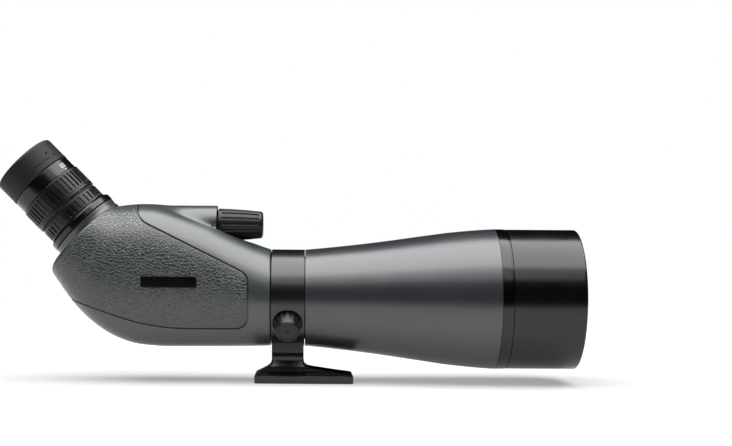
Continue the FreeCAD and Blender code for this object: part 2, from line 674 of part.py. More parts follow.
def rear_armour():
    """Grained rubber armour over the rear of the housing, in a recess one armour's thickness deep."""
    body = rounded_skin(0).common(armour_region(ARMOUR_GAP)).cut(skin(ARMOUR))
    port = in_eyepiece(disc(PORT_R + 0.1, -30, 40))
    return body.cut([port, hump(-0.3), badge_block(FIT).cut(skin(BADGE_THICK + FIT))])


def badge_block(gap):
    """Rounded bar through the housing, the outline of both badges."""
    half_x, half_z = BADGE_SIZE[0] / 2 + gap, BADGE_SIZE[1] / 2 + gap
    x, z = BADGE_AT[0], AXIS_Z + BADGE_AT[1]
    block = box(x - half_x, x + half_x, -60, 60, z - half_z, z + half_z)
    return block.makeFillet(1.0, [e for e in block.Edges if e.BoundBox.YLength > 100])


def badges():
    """Plain plates let into both sides of the armour."""
    slab = badge_block(0).common(rounded_skin(-0.15)).cut(skin(BADGE_THICK))
    return slab.Solids


def light_baffle():
    """Blackened ring behind the sleeve that stops stray light and holds the front of the guide rod."""
    front = HOUSING_FRONT - SLEEVE_GRIP - FIT
    body = along_x(ring(SLEEVE_R, 22.0, front - 2.0, front))
    return body.cut(guide_rod_cylinder(GUIDE_ROD_R + FIT, front - 1.6, front - 5))


def guide_rod_cylinder(r, x0, x1):
    x0, x1 = sorted((x0, x1))
    return along_x(disc(r, x0, x1), 0, -GUIDE_ROD_DOWN)


def guide_rod():
    """Ground rod that keeps the focusing cell from turning."""
    return guide_rod_cylinder(GUIDE_ROD_R, FRAME_REAR + 0.2, HOUSING_FRONT - SLEEVE_GRIP - 1.7)


# ---------------------------------------------------------------- focus drive
def focus_bush():
    """Flanged bronze bush in the hump's front wall, grooved for its seal."""
    body = focus_cylinder(BUSH_R, HUMP_FRONT - WALL, HUMP_FRONT)
    body = body.fuse(focus_cylinder(BUSH_R + 1.5, HUMP_FRONT, HUMP_FRONT + 0.7))
    groove = focus_cylinder(FOCUS_SHAFT_R + 1.0, HUMP_FRONT - 2.4, HUMP_FRONT - 1.0)
    return body.cut([focus_cylinder(FOCUS_SHAFT_R + RUN, HUMP_FRONT - 5, HUMP_FRONT + 5), groove])


def focus_seal():
    """O-ring round the focus shaft."""
    core = Part.makeTorus(FOCUS_SHAFT_R + 0.53, 0.43)
    return along_x(core, HUMP_FRONT - 1.7, FOCUS_UP)


def focus_shaft():
    """Lead screw of the focus drive, with a clip groove behind the bush."""
    body = focus_cylinder(FOCUS_SHAFT_R, FOCUS_SHAFT_REAR, KNOB_FRONT - 4)
    x = HUMP_FRONT - WALL - 0.2
    body = body.cut(focus_cylinder(5, x - 0.9, x).cut(focus_cylinder(FOCUS_SHAFT_R - 0.5, x - 2, x + 2)))
    return body


def shaft_clip():
    """Spring clip that stops the shaft from pulling out through its bush."""
    x = HUMP_FRONT - WALL - 0.25
    body = focus_cylinder(5.0, x - 0.8, x).cut(focus_cylinder(FOCUS_SHAFT_R - 0.45, x - 2, x + 1))
    z = AXIS_Z + FOCUS_UP
    return body.cut(box(x - 2, x + 2, -1.6, 1.6, z - 6, z))


def focus_grip():
    """Rubber grip moulded on the knob's core, with lengthwise grooves between plain rims."""
    a, b, length = KNOB_REAR_R, KNOB_FRONT_R, KNOB_FRONT - KNOB_REAR
    mid = (a + b) / 2 + 0.35
    side = Part.Arc(V(a, 0, 0.5), V(mid, 0, length / 2), V(b, 0, length - 2.0)).toShape()
    nose = Part.Arc(V(b, 0, length - 2.0), V(b - 0.6, 0, length - 0.6), V(b - 2.0, 0, length)).toShape()
    rest = Part.makePolygon([V(b - 2.0, 0, length), V(KNOB_CORE_R - 1.0, 0, length),
                             V(KNOB_CORE_R - 1.0, 0, length - 2.0), V(KNOB_CORE_R, 0, length - 2.0),
                             V(KNOB_CORE_R, 0, 0), V(a - 0.5, 0, 0), V(a, 0, 0.5)])
    body = Part.Face(Part.Wire([side, nose] + rest.Edges)).revolve(V(0, 0, 0), V(0, 0, 1), 360)
    lean = math.degrees(math.atan2(a - b, length))
    for k in range(KNOB_FLUTES):
        flute = Part.makeCylinder(1.0, length - 6.0)
        ends = [Part.makeSphere(1.0, V(0, 0, 0)), Part.makeSphere(1.0, V(0, 0, length - 6.0))]
        flute = flute.multiFuse(ends)
        flute.rotate(V(0, 0, 0), V(0, 1, 0), -lean)
        flute.translate(V(a + 0.35, 0, 3.0))
        flute.rotate(V(0, 0, 0), V(0, 0, 1), 360 / KNOB_FLUTES * k)
        body = body.cut(flute)
    return along_x(body, KNOB_REAR, FOCUS_UP)


def focus_knob_core():
    """Aluminium core of the focus knob, bored for the shaft."""
    body = focus_cylinder(KNOB_CORE_R, KNOB_REAR, KNOB_FRONT - 2.0)
    return body.cut(focus_cylinder(FOCUS_SHAFT_R + FIT, KNOB_REAR - 1, KNOB_FRONT - 4 + FIT))


def focus_knob_cap():
    """Disc that closes the front of the knob."""
    body = disc(KNOB_CORE_R - 1.0 - FIT, 0, 1.7)
    body = fillet_circles(body, 0.5, [(KNOB_CORE_R - 1.0 - FIT, 1.7)])
    return along_x(body, KNOB_FRONT - 2.0 + FIT, FOCUS_UP)


def focus_carriage():
    """Cell of the focusing lens, its arm up to the lead-screw nut and its ear on the guide rod."""
    cell0, cell1 = FOCUS_CELL_REAR, FOCUS_CELL_REAR + FOCUS_CELL_LENGTH
    cell = along_x(disc(FOCUS_CELL_R, cell0, cell1))
    nut = focus_cylinder(FOCUS_NUT_R, FOCUS_NUT, FOCUS_NUT + FOCUS_NUT_LENGTH)
    arm0, arm1 = FOCUS_NUT + 3.0, FOCUS_NUT + FOCUS_NUT_LENGTH
    arm = box(arm0, arm1, -5, 5, AXIS_Z + FOCUS_CELL_R - 2, AXIS_Z + FOCUS_UP)
    down = GUIDE_ROD_DOWN + GUIDE_ROD_R + 1.2
    ear = box(cell0 + 1, cell1 - 1, -3, 3, AXIS_Z - down, AXIS_Z - FOCUS_CELL_R + 2)
    body = cell.multiFuse([nut, arm, ear])
    bore = along_x(disc(FOCUS_LENS_R + FIT, cell0 + 2, cell1 + 1))
    mouth = along_x(disc(FOCUS_LENS_R - 1.5, cell0 - 1, cell1))
    thread = focus_cylinder(FOCUS_SHAFT_R + RUN, FOCUS_NUT - 1, FOCUS_NUT + FOCUS_NUT_LENGTH + 1)
    return body.cut([bore, mouth, thread, guide_rod_cylinder(GUIDE_ROD_R + RUN, cell0 - 1, cell1 + 1)])


def focus_lens():
    """Hollow-faced focusing lens."""
    z0 = FOCUS_CELL_REAR + 2 + FIT
    return along_x(lens(FOCUS_LENS_R, z0, z0 + 6.5, -90.0, -90.0))


def focus_lens_ring():
    """Threaded ring that holds the focusing lens."""
    z0 = FOCUS_CELL_REAR + 2 + 6.5 + 2 * FIT
    return along_x(ring(FOCUS_LENS_R, FOCUS_LENS_R - 1.5, z0, z0 + 2.0))


# ---------------------------------------------------------------- prism
def prism_triangle():
    """Corners of the prism in (x, z): apex over the entry face, then the two ends of the roof."""
    apex = (PRISM_FRONT, AXIS_Z + PRISM_TOP)
    entry_end = (PRISM_FRONT, apex[1] - PRISM_LEG)
    lean = math.radians(EYE_TILT)
    exit_end = (apex[0] - PRISM_LEG * math.sin(lean), apex[1] - PRISM_LEG * math.cos(lean))
    return apex, entry_end, exit_end


def roof_prism():
    """Roof prism: a 45-degree triangle whose long side is a roof of two square faces."""
    corners = [V(x, 0, z) for x, z in prism_triangle()]
    body = Part.Face(Part.makePolygon(corners + corners[:1])).extrude(V(0, PRISM_WIDTH, 0))
    body.translate(V(0, -PRISM_WIDTH / 2, 0))
    middle = (corners[1] + corners[2]) * 0.5
    out = (middle - corners[0]).normalize()
    along = (corners[2] - corners[1]).normalize()
    ridge = middle + out * 0.01
    reach = PRISM_WIDTH * 2
    deep = ridge - out * reach
    wedge = Part.makePolygon([ridge, deep + V(0, reach, 0), deep - V(0, reach, 0), ridge])
    wedge = Part.Face(wedge).extrude(along * 200)
    wedge.translate(along * -100)
    body = body.common(wedge)
    trim = Part.makeBox(200, 200, 200, V(PRISM_FRONT - 1.0 - 100, -100, corners[0].z - 3.0))
    return body.cut(trim)


def prism_frame():
    """Frame of the prism: a screwed plate with the light's opening and two cheeks with a floor."""
    body = along_x(disc(BULKHEAD_R, FRAME_REAR, FRAME_FRONT))
    inner, outer = PRISM_WIDTH / 2 + 0.1, PRISM_WIDTH / 2 + 1.6
    for sign in (-1, 1):
        y0, y1 = sorted((sign * inner, sign * outer))
        cheek = box(PRISM_FRONT - 26, FRAME_FRONT, y0, y1, AXIS_Z - 12, AXIS_Z + 17)
        body = body.fuse(cheek)
    side, up = LUG_AT
    cuts = [along_x(disc(PRISM_APERTURE_R, FRAME_REAR - 1, FRAME_FRONT + 1))]
    for sign_y in (-1, 1):
        for sign_z in (-1, 1):
            at = V(FRAME_REAR - 1, sign_y * side, AXIS_Z + sign_z * up)
            cuts.append(Part.makeCylinder(FRAME_SCREW_R + 0.2, 5, at, V(1, 0, 0)))
    cuts.append(guide_rod_cylinder(GUIDE_ROD_R + FIT, FRAME_REAR + 0.1, FRAME_FRONT + 1))
    return body.cut(cuts)


def prism_clip():
    """Spring strap over the prism's exit side that presses it into the frame."""
    inner, outer = PRISM_WIDTH / 2 + 1.7, PRISM_WIDTH / 2 + 2.4
    apex = AXIS_Z + PRISM_TOP
    x = PRISM_FRONT - 14
    strap = box(x - 3, x + 3, -outer, outer, apex - 22, apex + 0.8)
    return strap.cut(box(x - 9, x + 9, -inner, inner, apex - 30, apex))


def frame_screws():
    """Four cheese-head screws that hold the prism frame to the housing's lugs."""
    side, up = LUG_AT
    screws = []
    for sign_y in (-1, 1):
        for sign_z in (-1, 1):
            y, z = sign_y * side, AXIS_Z + sign_z * up
            shank = Part.makeCylinder(FRAME_SCREW_R, 7.5, V(FRAME_FRONT + 0.5, y, z), V(-1, 0, 0))
            head = Part.makeCylinder(2.7, 2.0, V(FRAME_FRONT + 0.02, y, z), V(1, 0, 0))
            slot = box(FRAME_FRONT + 1.2, FRAME_FRONT + 3, y - 3, y + 3, z - 0.4, z + 0.4)
            screws.append(shank.fuse(head).cut(slot))
    return screws


# ---------------------------------------------------------------- eyepiece
def port_window():
    """Glass that seals the body under the removable eyepiece."""
    return in_eyepiece(disc(PORT_BORE_R - FIT, -2.6, -0.6))


def port_flange():
    """Black ring screwed on the port that the eyepiece seats in."""
    z0, z1 = PORT_TOP + 0.02, FLANGE_TOP
    outline = [(PORT_BORE_R + RUN, z0), (FLANGE_R - 0.8, z0), (FLANGE_R, z0 + 0.88),
               (FLANGE_R, z1 - 1.4), (FLANGE_R - 1.4, z1), (PORT_BORE_R + RUN, z1)]
    body = turned(outline)
    for k in range(4):
        cut = disc(FLANGE_SCREW_R + 0.1, 0, FLANGE_TOP + 1).fuse(disc(1.6, FLANGE_TOP - 1.6, FLANGE_TOP + 1))
        body = body.cut(at_angle(cut, FLANGE_SCREW_AT, 45 + 90 * k))
    return in_eyepiece(body)


def flange_screws():
    """Four small screws through the flange into the port."""
    screws = []
    for k in range(4):
        head = disc(1.5, FLANGE_TOP - 1.55, FLANGE_TOP - 0.3)
        screw = disc(FLANGE_SCREW_R, 1.6, FLANGE_TOP - 1).fuse(head)
        slot = box(-2, 2, -0.2, 0.2, FLANGE_TOP - 0.8, FLANGE_TOP)
        screws.append(in_eyepiece(at_angle(screw.cut(slot), FLANGE_SCREW_AT, 45 + 90 * k)))
    return screws


def eyepiece_base():
    """Eyepiece's foot: spigot in the port, neck for the lock ring and the collar above it."""
    z_neck, z_collar, z_socket = FLANGE_TOP + 0.1, LOCK_RING_TOP + 0.1, BASE_TOP - SOCKET
    outside = [(PORT_BORE_R - RUN, BASE_FOOT), (PORT_BORE_R - RUN, z_neck), (BASE_NECK_R, z_neck),
               (BASE_NECK_R, z_collar), (BASE_R, z_collar), (BASE_R, BASE_TOP)]
    inside = [(BARREL_R + FIT, BASE_TOP), (BARREL_R + FIT, z_socket), (GUIDE_R + FIT, z_socket),
              (GUIDE_R + FIT, BASE_FOOT + 2), (GUIDE_BORE_R, BASE_FOOT + 2), (GUIDE_BORE_R, BASE_FOOT)]
    return in_eyepiece(turned(outside + inside))


def ribbed(body, r, count, z0, z1, depth, half_width):
    """Cut round-ended lengthwise grooves round a ring."""
    cutters = []
    for k in range(count):
        bar = box(r - depth, r + 2, -half_width, half_width, z0 + half_width, z1 - half_width)
        ends = []
        for z in (z0 + half_width, z1 - half_width):
            ends.append(Part.makeCylinder(half_width, depth + 2, V(r - depth, 0, z), V(1, 0, 0)))
        groove = bar.multiFuse(ends)
        groove.rotate(V(0, 0, 0), V(0, 0, 1), 360 / count * k)
        cutters.append(groove)
    return body.cut(cutters)


def eyepiece_lock_ring():
    """Narrow ribbed ring that locks the eyepiece in the port."""
    z0, z1 = FLANGE_TOP + 0.2, LOCK_RING_TOP
    body = ring(LOCK_RING_R, BASE_NECK_R + RUN, z0, z1)
    body = fillet_circles(body, 0.4, [(LOCK_RING_R, z0), (LOCK_RING_R, z1)])
    return in_eyepiece(ribbed(body, LOCK_RING_R, LOCK_RING_RIBS, z0 + 1.3, z1 - 1.3, 0.8, 0.85))


def eyepiece_barrel():
    """Fixed barrel of the eyepiece with the slot of the zoom drive screw and the eye lens's seat."""
    z0 = BASE_TOP - SOCKET + FIT
    top, lens_bore, guide_bore = BARREL_TOP, EYE_LENS_R + FIT, GUIDE_R + FIT
    outline = [(BARREL_R, z0), (BARREL_R, top), (EYE_LENS_R - 1, top), (EYE_LENS_R - 1, top - 1),
               (lens_bore, top - 1), (lens_bore, top - 8), (guide_bore, top - 8),
               (guide_bore, top - 12), (BARREL_BORE_R, top - 12), (BARREL_BORE_R, z0)]
    body = turned(outline)
    half = CAM_PIN_R + CAM_SLOT_GAP
    slot = ring(BARREL_R + 1, BARREL_BORE_R - 1, DRIVE_Z - half, DRIVE_Z + half)
    spare = math.degrees(half / BARREL_BORE_R) + 1
    return in_eyepiece(body.cut(sector(slot, DRIVE_ANGLE - spare, DRIVE_ANGLE + ZOOM_SWEEP + spare)))


def sector(shape, start, end):
    """Part of a ring between two angles about local +Z."""
    reach = 60
    first, last = math.radians(start), math.radians(end)
    steps = 6
    points = [V(0, 0, 0)]
    for k in range(steps + 1):
        turn = first + (last - first) * k / steps
        points.append(V(reach * math.cos(turn), reach * math.sin(turn), 0))
    wedge = Part.Face(Part.makePolygon(points + points[:1])).extrude(V(0, 0, 200))
    wedge.translate(V(0, 0, -100))
    return shape.common(wedge)


def scale_ring():
    """Smooth ring with the zoom scale, fixed on the barrel."""
    z0 = ZOOM_TOP + 0.2
    body = ring(SCALE_R, BARREL_R + FIT, z0, SCALE_TOP)
    return in_eyepiece(fillet_circles(body, 0.3, [(SCALE_R, z0), (SCALE_R, SCALE_TOP)]))


def zoom_ring_core():
    """Metal ring under the zoom grip, tapped for the drive screw."""
    body = ring(ZOOM_CORE_R, BARREL_R + RUN, BASE_TOP + 0.1, ZOOM_TOP)
    return in_eyepiece(body.cut(drive_hole(CAM_PIN_R + FIT)))


def drive_hole(r):
    hole = Part.makeCylinder(r, 40, V(0, 0, DRIVE_Z), V(1, 0, 0))
    hole.rotate(V(0, 0, 0), V(0, 0, 1), DRIVE_ANGLE)
    return hole


def zoom_grip():
    """Rubber grip of the zoom ring: slots with rounded ends between plain rims."""
    body = ring(ZOOM_R, ZOOM_CORE_R, BASE_TOP + 0.2, ZOOM_TOP)
    body = fillet_circles(body, 0.5, [(ZOOM_R, BASE_TOP + 0.2), (ZOOM_R, ZOOM_TOP)])
    body = body.cut(ring(ZOOM_R + 1, ZOOM_R - 0.35, BASE_TOP + 2.0, BASE_TOP + 2.4))
    return in_eyepiece(ribbed(body, ZOOM_R, ZOOM_RIBS, BASE_TOP + 3.2, ZOOM_TOP - 1.6, 0.9, 0.85))


def zoom_drive_screw():
    """Screw that carries the zoom ring's turn through the barrel into the cam tube."""
    screw = drive_hole(CAM_PIN_R).cut([disc(CAM_BORE_R + 0.1, 0, 80), ring(60, ZOOM_CORE_R - 0.1, 0, 80)])
    return in_eyepiece(screw)


def helix_slot(z0, travel, angle):
    """Cutter for one cam slot: short bars and pin-sized holes that follow the pin's path round the tube."""
    half = CAM_PIN_R + CAM_SLOT_GAP
    inner, outer = CAM_BORE_R - 1.0, CAM_R + 1.0
    turn, rise = -ZOOM_SWEEP / CAM_STEPS, travel / CAM_STEPS
    across = 2 * outer * math.tan(math.radians(abs(turn) / 2))
    tilt = -math.degrees(math.atan2(rise, across))
    bar = box(inner, outer, -across / 2, across / 2, -half, half)
    bar.rotate(V(0, 0, 0), V(1, 0, 0), tilt)
    cutters = []
    for k in range(CAM_STEPS + 1):
        hole = Part.makeCylinder(half, outer - inner, V(inner, 0, z0 + rise * k), V(1, 0, 0))
        hole.rotate(V(0, 0, 0), V(0, 0, 1), angle + turn * k)
        cutters.append(hole)
    for k in range(CAM_STEPS):
        piece = bar.copy()
        piece.translate(V(0, 0, z0 + rise * (k + 0.5)))
        piece.rotate(V(0, 0, 0), V(0, 0, 1), angle + turn * (k + 0.5))
        cutters.append(piece)
    return fused(cutters)


def zoom_cam():
    """Cam tube with a pair of helical slots for each moving cell."""
    body = ring(CAM_R, CAM_BORE_R, CAM_REAR, CAM_FRONT)
    cuts = [drive_hole(CAM_PIN_R + FIT)]
    for angle in (0, 180):
        cuts.append(helix_slot(FRONT_CELL_Z + CELL_LENGTH / 2, FRONT_CELL_TRAVEL, angle))
        cuts.append(helix_slot(REAR_CELL_Z + CELL_LENGTH / 2, REAR_CELL_TRAVEL, angle))
    return in_eyepiece(body.cut(cuts))


def guide_tube():
    """Fixed inner tube whose straight slots keep the moving cells from turning."""
    body = ring(GUIDE_R, GUIDE_BORE_R, BASE_FOOT + 2 + FIT, BARREL_TOP - 8 - FIT)
    half = CAM_PIN_R + CAM_SLOT_GAP
    for z0, travel in ((FRONT_CELL_Z, FRONT_CELL_TRAVEL), (REAR_CELL_Z, REAR_CELL_TRAVEL)):
        low, high = sorted((z0 + CELL_LENGTH / 2, z0 + CELL_LENGTH / 2 + travel))
        body = body.cut(box(-30, 30, -half, half, low - half, high + half))
    return in_eyepiece(body)


def zoom_cell(z0):
    """Moving lens cell with its two cam pins."""
    body = ring(CELL_R, CELL_R - 1.2, z0, z0 + CELL_LENGTH)
    for side in (0, 180):
        root = V(CELL_R - 0.6, 0, z0 + CELL_LENGTH / 2)
        pin = Part.makeCylinder(CAM_PIN_R, CAM_R - CELL_R + 0.5, root, V(1, 0, 0))
        pin.rotate(V(0, 0, 0), V(0, 0, 1), side)
        body = body.fuse(pin)
    return in_eyepiece(body)


def zoom_lens(z0, r_back, r_front, edge):
    middle = z0 + CELL_LENGTH / 2
    return in_eyepiece(lens(CELL_R - 1.2 - FIT, middle - edge / 2, middle + edge / 2, r_back, r_front))


def eye_lens():
    """Bulging lens at the eye end."""
    return in_eyepiece(lens(EYE_LENS_R, BARREL_TOP - 6.0, BARREL_TOP - 2.6, 60.0, 38.0))


def eye_lens_ring():
    """Ring that holds the eye lens up against its seat."""
    z0, z1 = BARREL_TOP - 8 + FIT, BARREL_TOP - 6.0 - EDGE_CLEAR
    return in_eyepiece(ring(EYE_LENS_R, EYE_LENS_R - 1.3, z0, z1))


def eyecup_glide_ring():
    """Nylon ring between the barrel and the turning sleeve; it rises with the cup."""
    return in_eyepiece(ring(GLIDE_R, BARREL_R + RUN, SCALE_TOP + 0.6, SCALE_TOP + 3.0))


def eyecup_sleeve():
    """Turning sleeve under the rubber, with a land that runs on the barrel's top."""
    z0, z1 = SCALE_TOP + 0.5, BARREL_TOP - 0.4
    outline = [(CUP_BORE_R, z0), (CUP_BORE_R, z1), (BARREL_R + RUN, z1), (BARREL_R + RUN, z1 - 1.4),
               (GLIDE_R + RUN, z1 - 1.4), (GLIDE_R + RUN, z0)]
    return in_eyepiece(turned(outline))


def eyecup():
    """Rubber cup: straight side, small lower lip and a rolled rim turned in towards the eye."""
    z0 = SCALE_TOP + 0.3
    lip = CUP_R + 0.2
    side = [(CUP_BORE_R, z0), (lip, z0), (lip, z0 + 1.6), (CUP_R, z0 + 2.0), (CUP_R, CUP_TOP - 1.8)]
    edges = list(Part.makePolygon([V(r, 0, z) for r, z in side]).Edges)
    edges.append(Part.Arc(V(CUP_R, 0, CUP_TOP - 1.8), V(CUP_R - 0.53, 0, CUP_TOP - 0.53),
                          V(CUP_R - 1.8, 0, CUP_TOP)).toShape())
    inner = [(CUP_R - 1.8, CUP_TOP), (CUP_RIM_R, CUP_TOP - 0.8), (CUP_RIM_R, CUP_TOP - 2.4),
             (CUP_BORE_R - 2.0, CUP_TOP - 2.6), (CUP_BORE_R - 2.0, BARREL_TOP + 0.4),
             (CUP_BORE_R, BARREL_TOP - 0.4), (CUP_BORE_R, z0)]
    edges += Part.makePolygon([V(r, 0, z) for r, z in inner]).Edges
    body = Part.Face(Part.Wire(edges)).revolve(V(0, 0, 0), V(0, 0, 1), 360)
    dimple = Part.makeSphere(1.1, V(0, -CUP_R - 0.3, z0 + 8))
    dimple.rotate(V(0, 0, 0), V(0, 0, 1), 37)
    return in_eyepiece(body.cut(dimple))


def write_parts():
    os.makedirs("parts", exist_ok=True)
    for name, solids in PARTS.items():
        shape = solids[0] if len(solids) == 1 else Part.makeCompound(solids)
        found = shape.Solids
        good = all(s.isValid() and s.isClosed() and s.Volume > 0 for s in found)
        print(f"{name:24s} solids {len(found)}  volume {shape.Volume:10.1f}  {'ok' if good else 'BAD'}")
        shape.exportStep(f"parts/{name}.step")


keep("collar_ring", collar_ring())
keep("collar_liner", collar_liner())
keep("tripod_foot", tripod_foot())
keep("tripod_insert", tripod_insert())
keep("foot_screws", *foot_screws())
keep("lock_shoe", lock_shoe())
keep("lock_knob", lock_knob())
keep("lock_screw", lock_screw())
keep("collar_sleeve", collar_sleeve())
keep("objective_tube", objective_tube())
keep("lens_barrel", lens_barrel())
keep("hood", hood())
keep("hood_felt", hood_felt())
keep("lens_cell", lens_cell())
keep("objective_rear_lens", objective_rear_lens())
keep("lens_spacer", lens_spacer())
keep("objective_front_lens", objective_front_lens())
keep("lens_retainer", lens_retainer())
keep("prism_housing", prism_housing())
keep("rear_armour", rear_armour())
keep("badges", *badges())
keep("light_baffle", light_baffle())
keep("guide_rod", guide_rod())
keep("focus_bush", focus_bush())
keep("focus_seal", focus_seal())
keep("focus_shaft", focus_shaft())
keep("shaft_clip", shaft_clip())
keep("focus_grip", focus_grip())
keep("focus_knob_core", focus_knob_core())
keep("focus_knob_cap", focus_knob_cap())
keep("focus_carriage", focus_carriage())
keep("focus_lens", focus_lens())
keep("focus_lens_ring", focus_lens_ring())
keep("roof_prism", roof_prism())
keep("prism_frame", prism_frame())
keep("prism_clip", prism_clip())
keep("frame_screws", *frame_screws())
keep("port_window", port_window())
keep("port_flange", port_flange())
keep("flange_screws", *flange_screws())
keep("eyepiece_base", eyepiece_base())
keep("eyepiece_lock_ring", eyepiece_lock_ring())
keep("eyepiece_barrel", eyepiece_barrel())
keep("scale_ring", scale_ring())
keep("zoom_ring_core", zoom_ring_core())
keep("zoom_grip", zoom_grip())
keep("zoom_drive_screw", zoom_drive_screw())
keep("zoom_cam", zoom_cam())
keep("guide_tube", guide_tube())
keep("zoom_front_cell", zoom_cell(FRONT_CELL_Z))
keep("zoom_front_lens", zoom_lens(FRONT_CELL_Z, -40.0, -40.0, 4.5))
keep("zoom_rear_cell", zoom_cell(REAR_CELL_Z))
keep("zoom_rear_lens", zoom_lens(REAR_CELL_Z, 45.0, 45.0, 1.6))
keep("eye_lens", eye_lens())
keep("eye_lens_ring", eye_lens_ring())
keep("eyecup_glide_ring", eyecup_glide_ring())
keep("eyecup_sleeve", eyecup_sleeve())
keep("eyecup", eyecup())
write_parts()
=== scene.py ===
# %% [markdown]
# # An angled spotting scope, piece by piece
# A spotting scope is a small telescope for field use. This lesson dresses its engineering model in
# finished surfaces: painted metal, moulded rubber, coated glass. The engineering model is the frame:
# it says where every piece is and how it moves, and the new surfaces are built round it in metres.

import json
import math

import bmesh
import bpy
import numpy as np
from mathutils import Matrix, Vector


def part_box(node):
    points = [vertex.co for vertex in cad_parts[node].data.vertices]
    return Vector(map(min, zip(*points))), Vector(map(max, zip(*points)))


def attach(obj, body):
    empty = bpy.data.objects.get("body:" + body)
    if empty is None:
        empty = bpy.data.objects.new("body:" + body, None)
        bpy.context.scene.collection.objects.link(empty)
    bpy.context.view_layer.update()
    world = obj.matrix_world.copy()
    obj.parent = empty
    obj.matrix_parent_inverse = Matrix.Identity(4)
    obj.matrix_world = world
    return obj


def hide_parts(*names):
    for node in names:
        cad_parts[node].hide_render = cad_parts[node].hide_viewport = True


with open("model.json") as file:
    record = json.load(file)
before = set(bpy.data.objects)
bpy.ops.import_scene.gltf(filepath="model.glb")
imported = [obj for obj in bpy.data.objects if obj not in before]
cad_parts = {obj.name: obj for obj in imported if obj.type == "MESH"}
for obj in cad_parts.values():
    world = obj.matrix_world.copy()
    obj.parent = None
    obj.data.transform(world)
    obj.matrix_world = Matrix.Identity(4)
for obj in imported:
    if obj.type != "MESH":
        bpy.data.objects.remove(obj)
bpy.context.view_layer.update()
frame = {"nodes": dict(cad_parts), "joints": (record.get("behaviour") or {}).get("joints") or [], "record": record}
MM = 0.001
joints = {joint["name"]: joint for joint in frame["joints"]}
nodes = frame["nodes"]

# %% [markdown]
# ## Axes
# Nearly every piece of an optical instrument is turned on a lathe, so each one needs an axis: a
# point, a direction and two directions across it. The frame's joints already hold those axes. The
# tube's is the collar's hinge, the eyepiece's is the zoom ring's, and so on.

# %% Axes taken from the joints


def axis_of(point, direction, across):
    """An axis as (origin, along, up, side): side is along x up, and up is made square to along."""
    along = np.array(direction, float)
    along /= np.linalg.norm(along)
    up = np.array(across, float)
    up -= along * up.dot(along)
    up /= np.linalg.norm(up)
    return np.array(point, float), along, up, np.cross(along, up)


collar_point = joints["collar_turn"]["pos_m"]
AXIS_Z = collar_point[2]
TUBE = axis_of((0, 0, AXIS_Z), (1, 0, 0), (0, 0, 1))
KNOB = axis_of((0, 0, joints["focus_turn"]["pos_m"][2]), (1, 0, 0), (0, 0, 1))
LOCK = axis_of((collar_point[0], 0, AXIS_Z), joints["lock_knob_turn"]["axis"], (1, 0, 0))
EYE = axis_of(joints["zoom_turn"]["pos_m"], joints["zoom_turn"]["axis"], (0, 0, 1))
print("optical axis at", round(AXIS_Z / MM, 1), "mm, eyepiece along", np.round(EYE[1], 3))

# %% [markdown]
# ## Camera, light and floor
# The view is a side view with the objective to the right: a lens of about 64 mm looks along +Y from
# just over nine tenths of a metre. A catalogue picture of black and grey metal is made by what it
# reflects: here one large soft box overhead, a weak one in front and a pale table that glows a
# little, with the rest of the camera's side left dark. The white world is only a background.

# %% Camera
CAMERA_PLACE = (0.0003, -0.904, 0.0842)
CAMERA_LENS = 63.93
CAMERA_SHIFT = (0.0833, 0.0505)
CAMERA_ROLL = -0.39


def add_camera(place, lens, shift, roll_degrees):
    """A camera that looks along +Y: turned a quarter about X, then rolled about its own view."""
    data = bpy.data.cameras.new("view_camera")
    data.lens = lens
    data.sensor_width = 36.0
    data.shift_x, data.shift_y = shift
    data.clip_start, data.clip_end = 0.01, 50.0
    camera = bpy.data.objects.new("view_camera", data)
    camera.location = place
    camera.rotation_euler = (math.radians(90), math.radians(roll_degrees), 0)
    bpy.context.scene.collection.objects.link(camera)
    bpy.context.scene.camera = camera
    return camera


camera = add_camera(CAMERA_PLACE, CAMERA_LENS, CAMERA_SHIFT, CAMERA_ROLL)
print("camera at", tuple(round(v, 3) for v in camera.location), "lens", camera.data.lens)

# %% Soft boxes and the world


def soft_box(name, centre, target, size, watts):
    """A rectangular area light at a centre, facing a target."""
    data = bpy.data.lights.new(name, "AREA")
    data.shape = "RECTANGLE"
    data.size, data.size_y = size
    data.energy = watts
    light = bpy.data.objects.new(name, data)
    light.location = centre
    aim = np.array(target, float) - np.array(centre, float)
    light.rotation_euler = Vector(aim).to_track_quat("-Z", "Y").to_euler()
    bpy.context.scene.collection.objects.link(light)


soft_box("top_box", (0.0, -0.2, 1.15), (0.0, -0.2, 0.0), (2.4, 1.3), 50.0)
soft_box("front_box", (-0.1, -1.2, 1.15), (0.0, 0.0, 0.05), (1.5, 0.5), 4.0)

world = bpy.data.worlds.new("studio_world")
bpy.context.scene.world = world
world.use_nodes = True
background = world.node_tree.nodes["Background"]
background.inputs["Color"].default_value = (1.0, 1.0, 1.0, 1.0)
background.inputs["Strength"].default_value = 1.0
world.cycles_visibility.diffuse = False
world.cycles_visibility.glossy = False
bpy.context.scene.view_settings.view_transform = "Standard"

# %% Floor


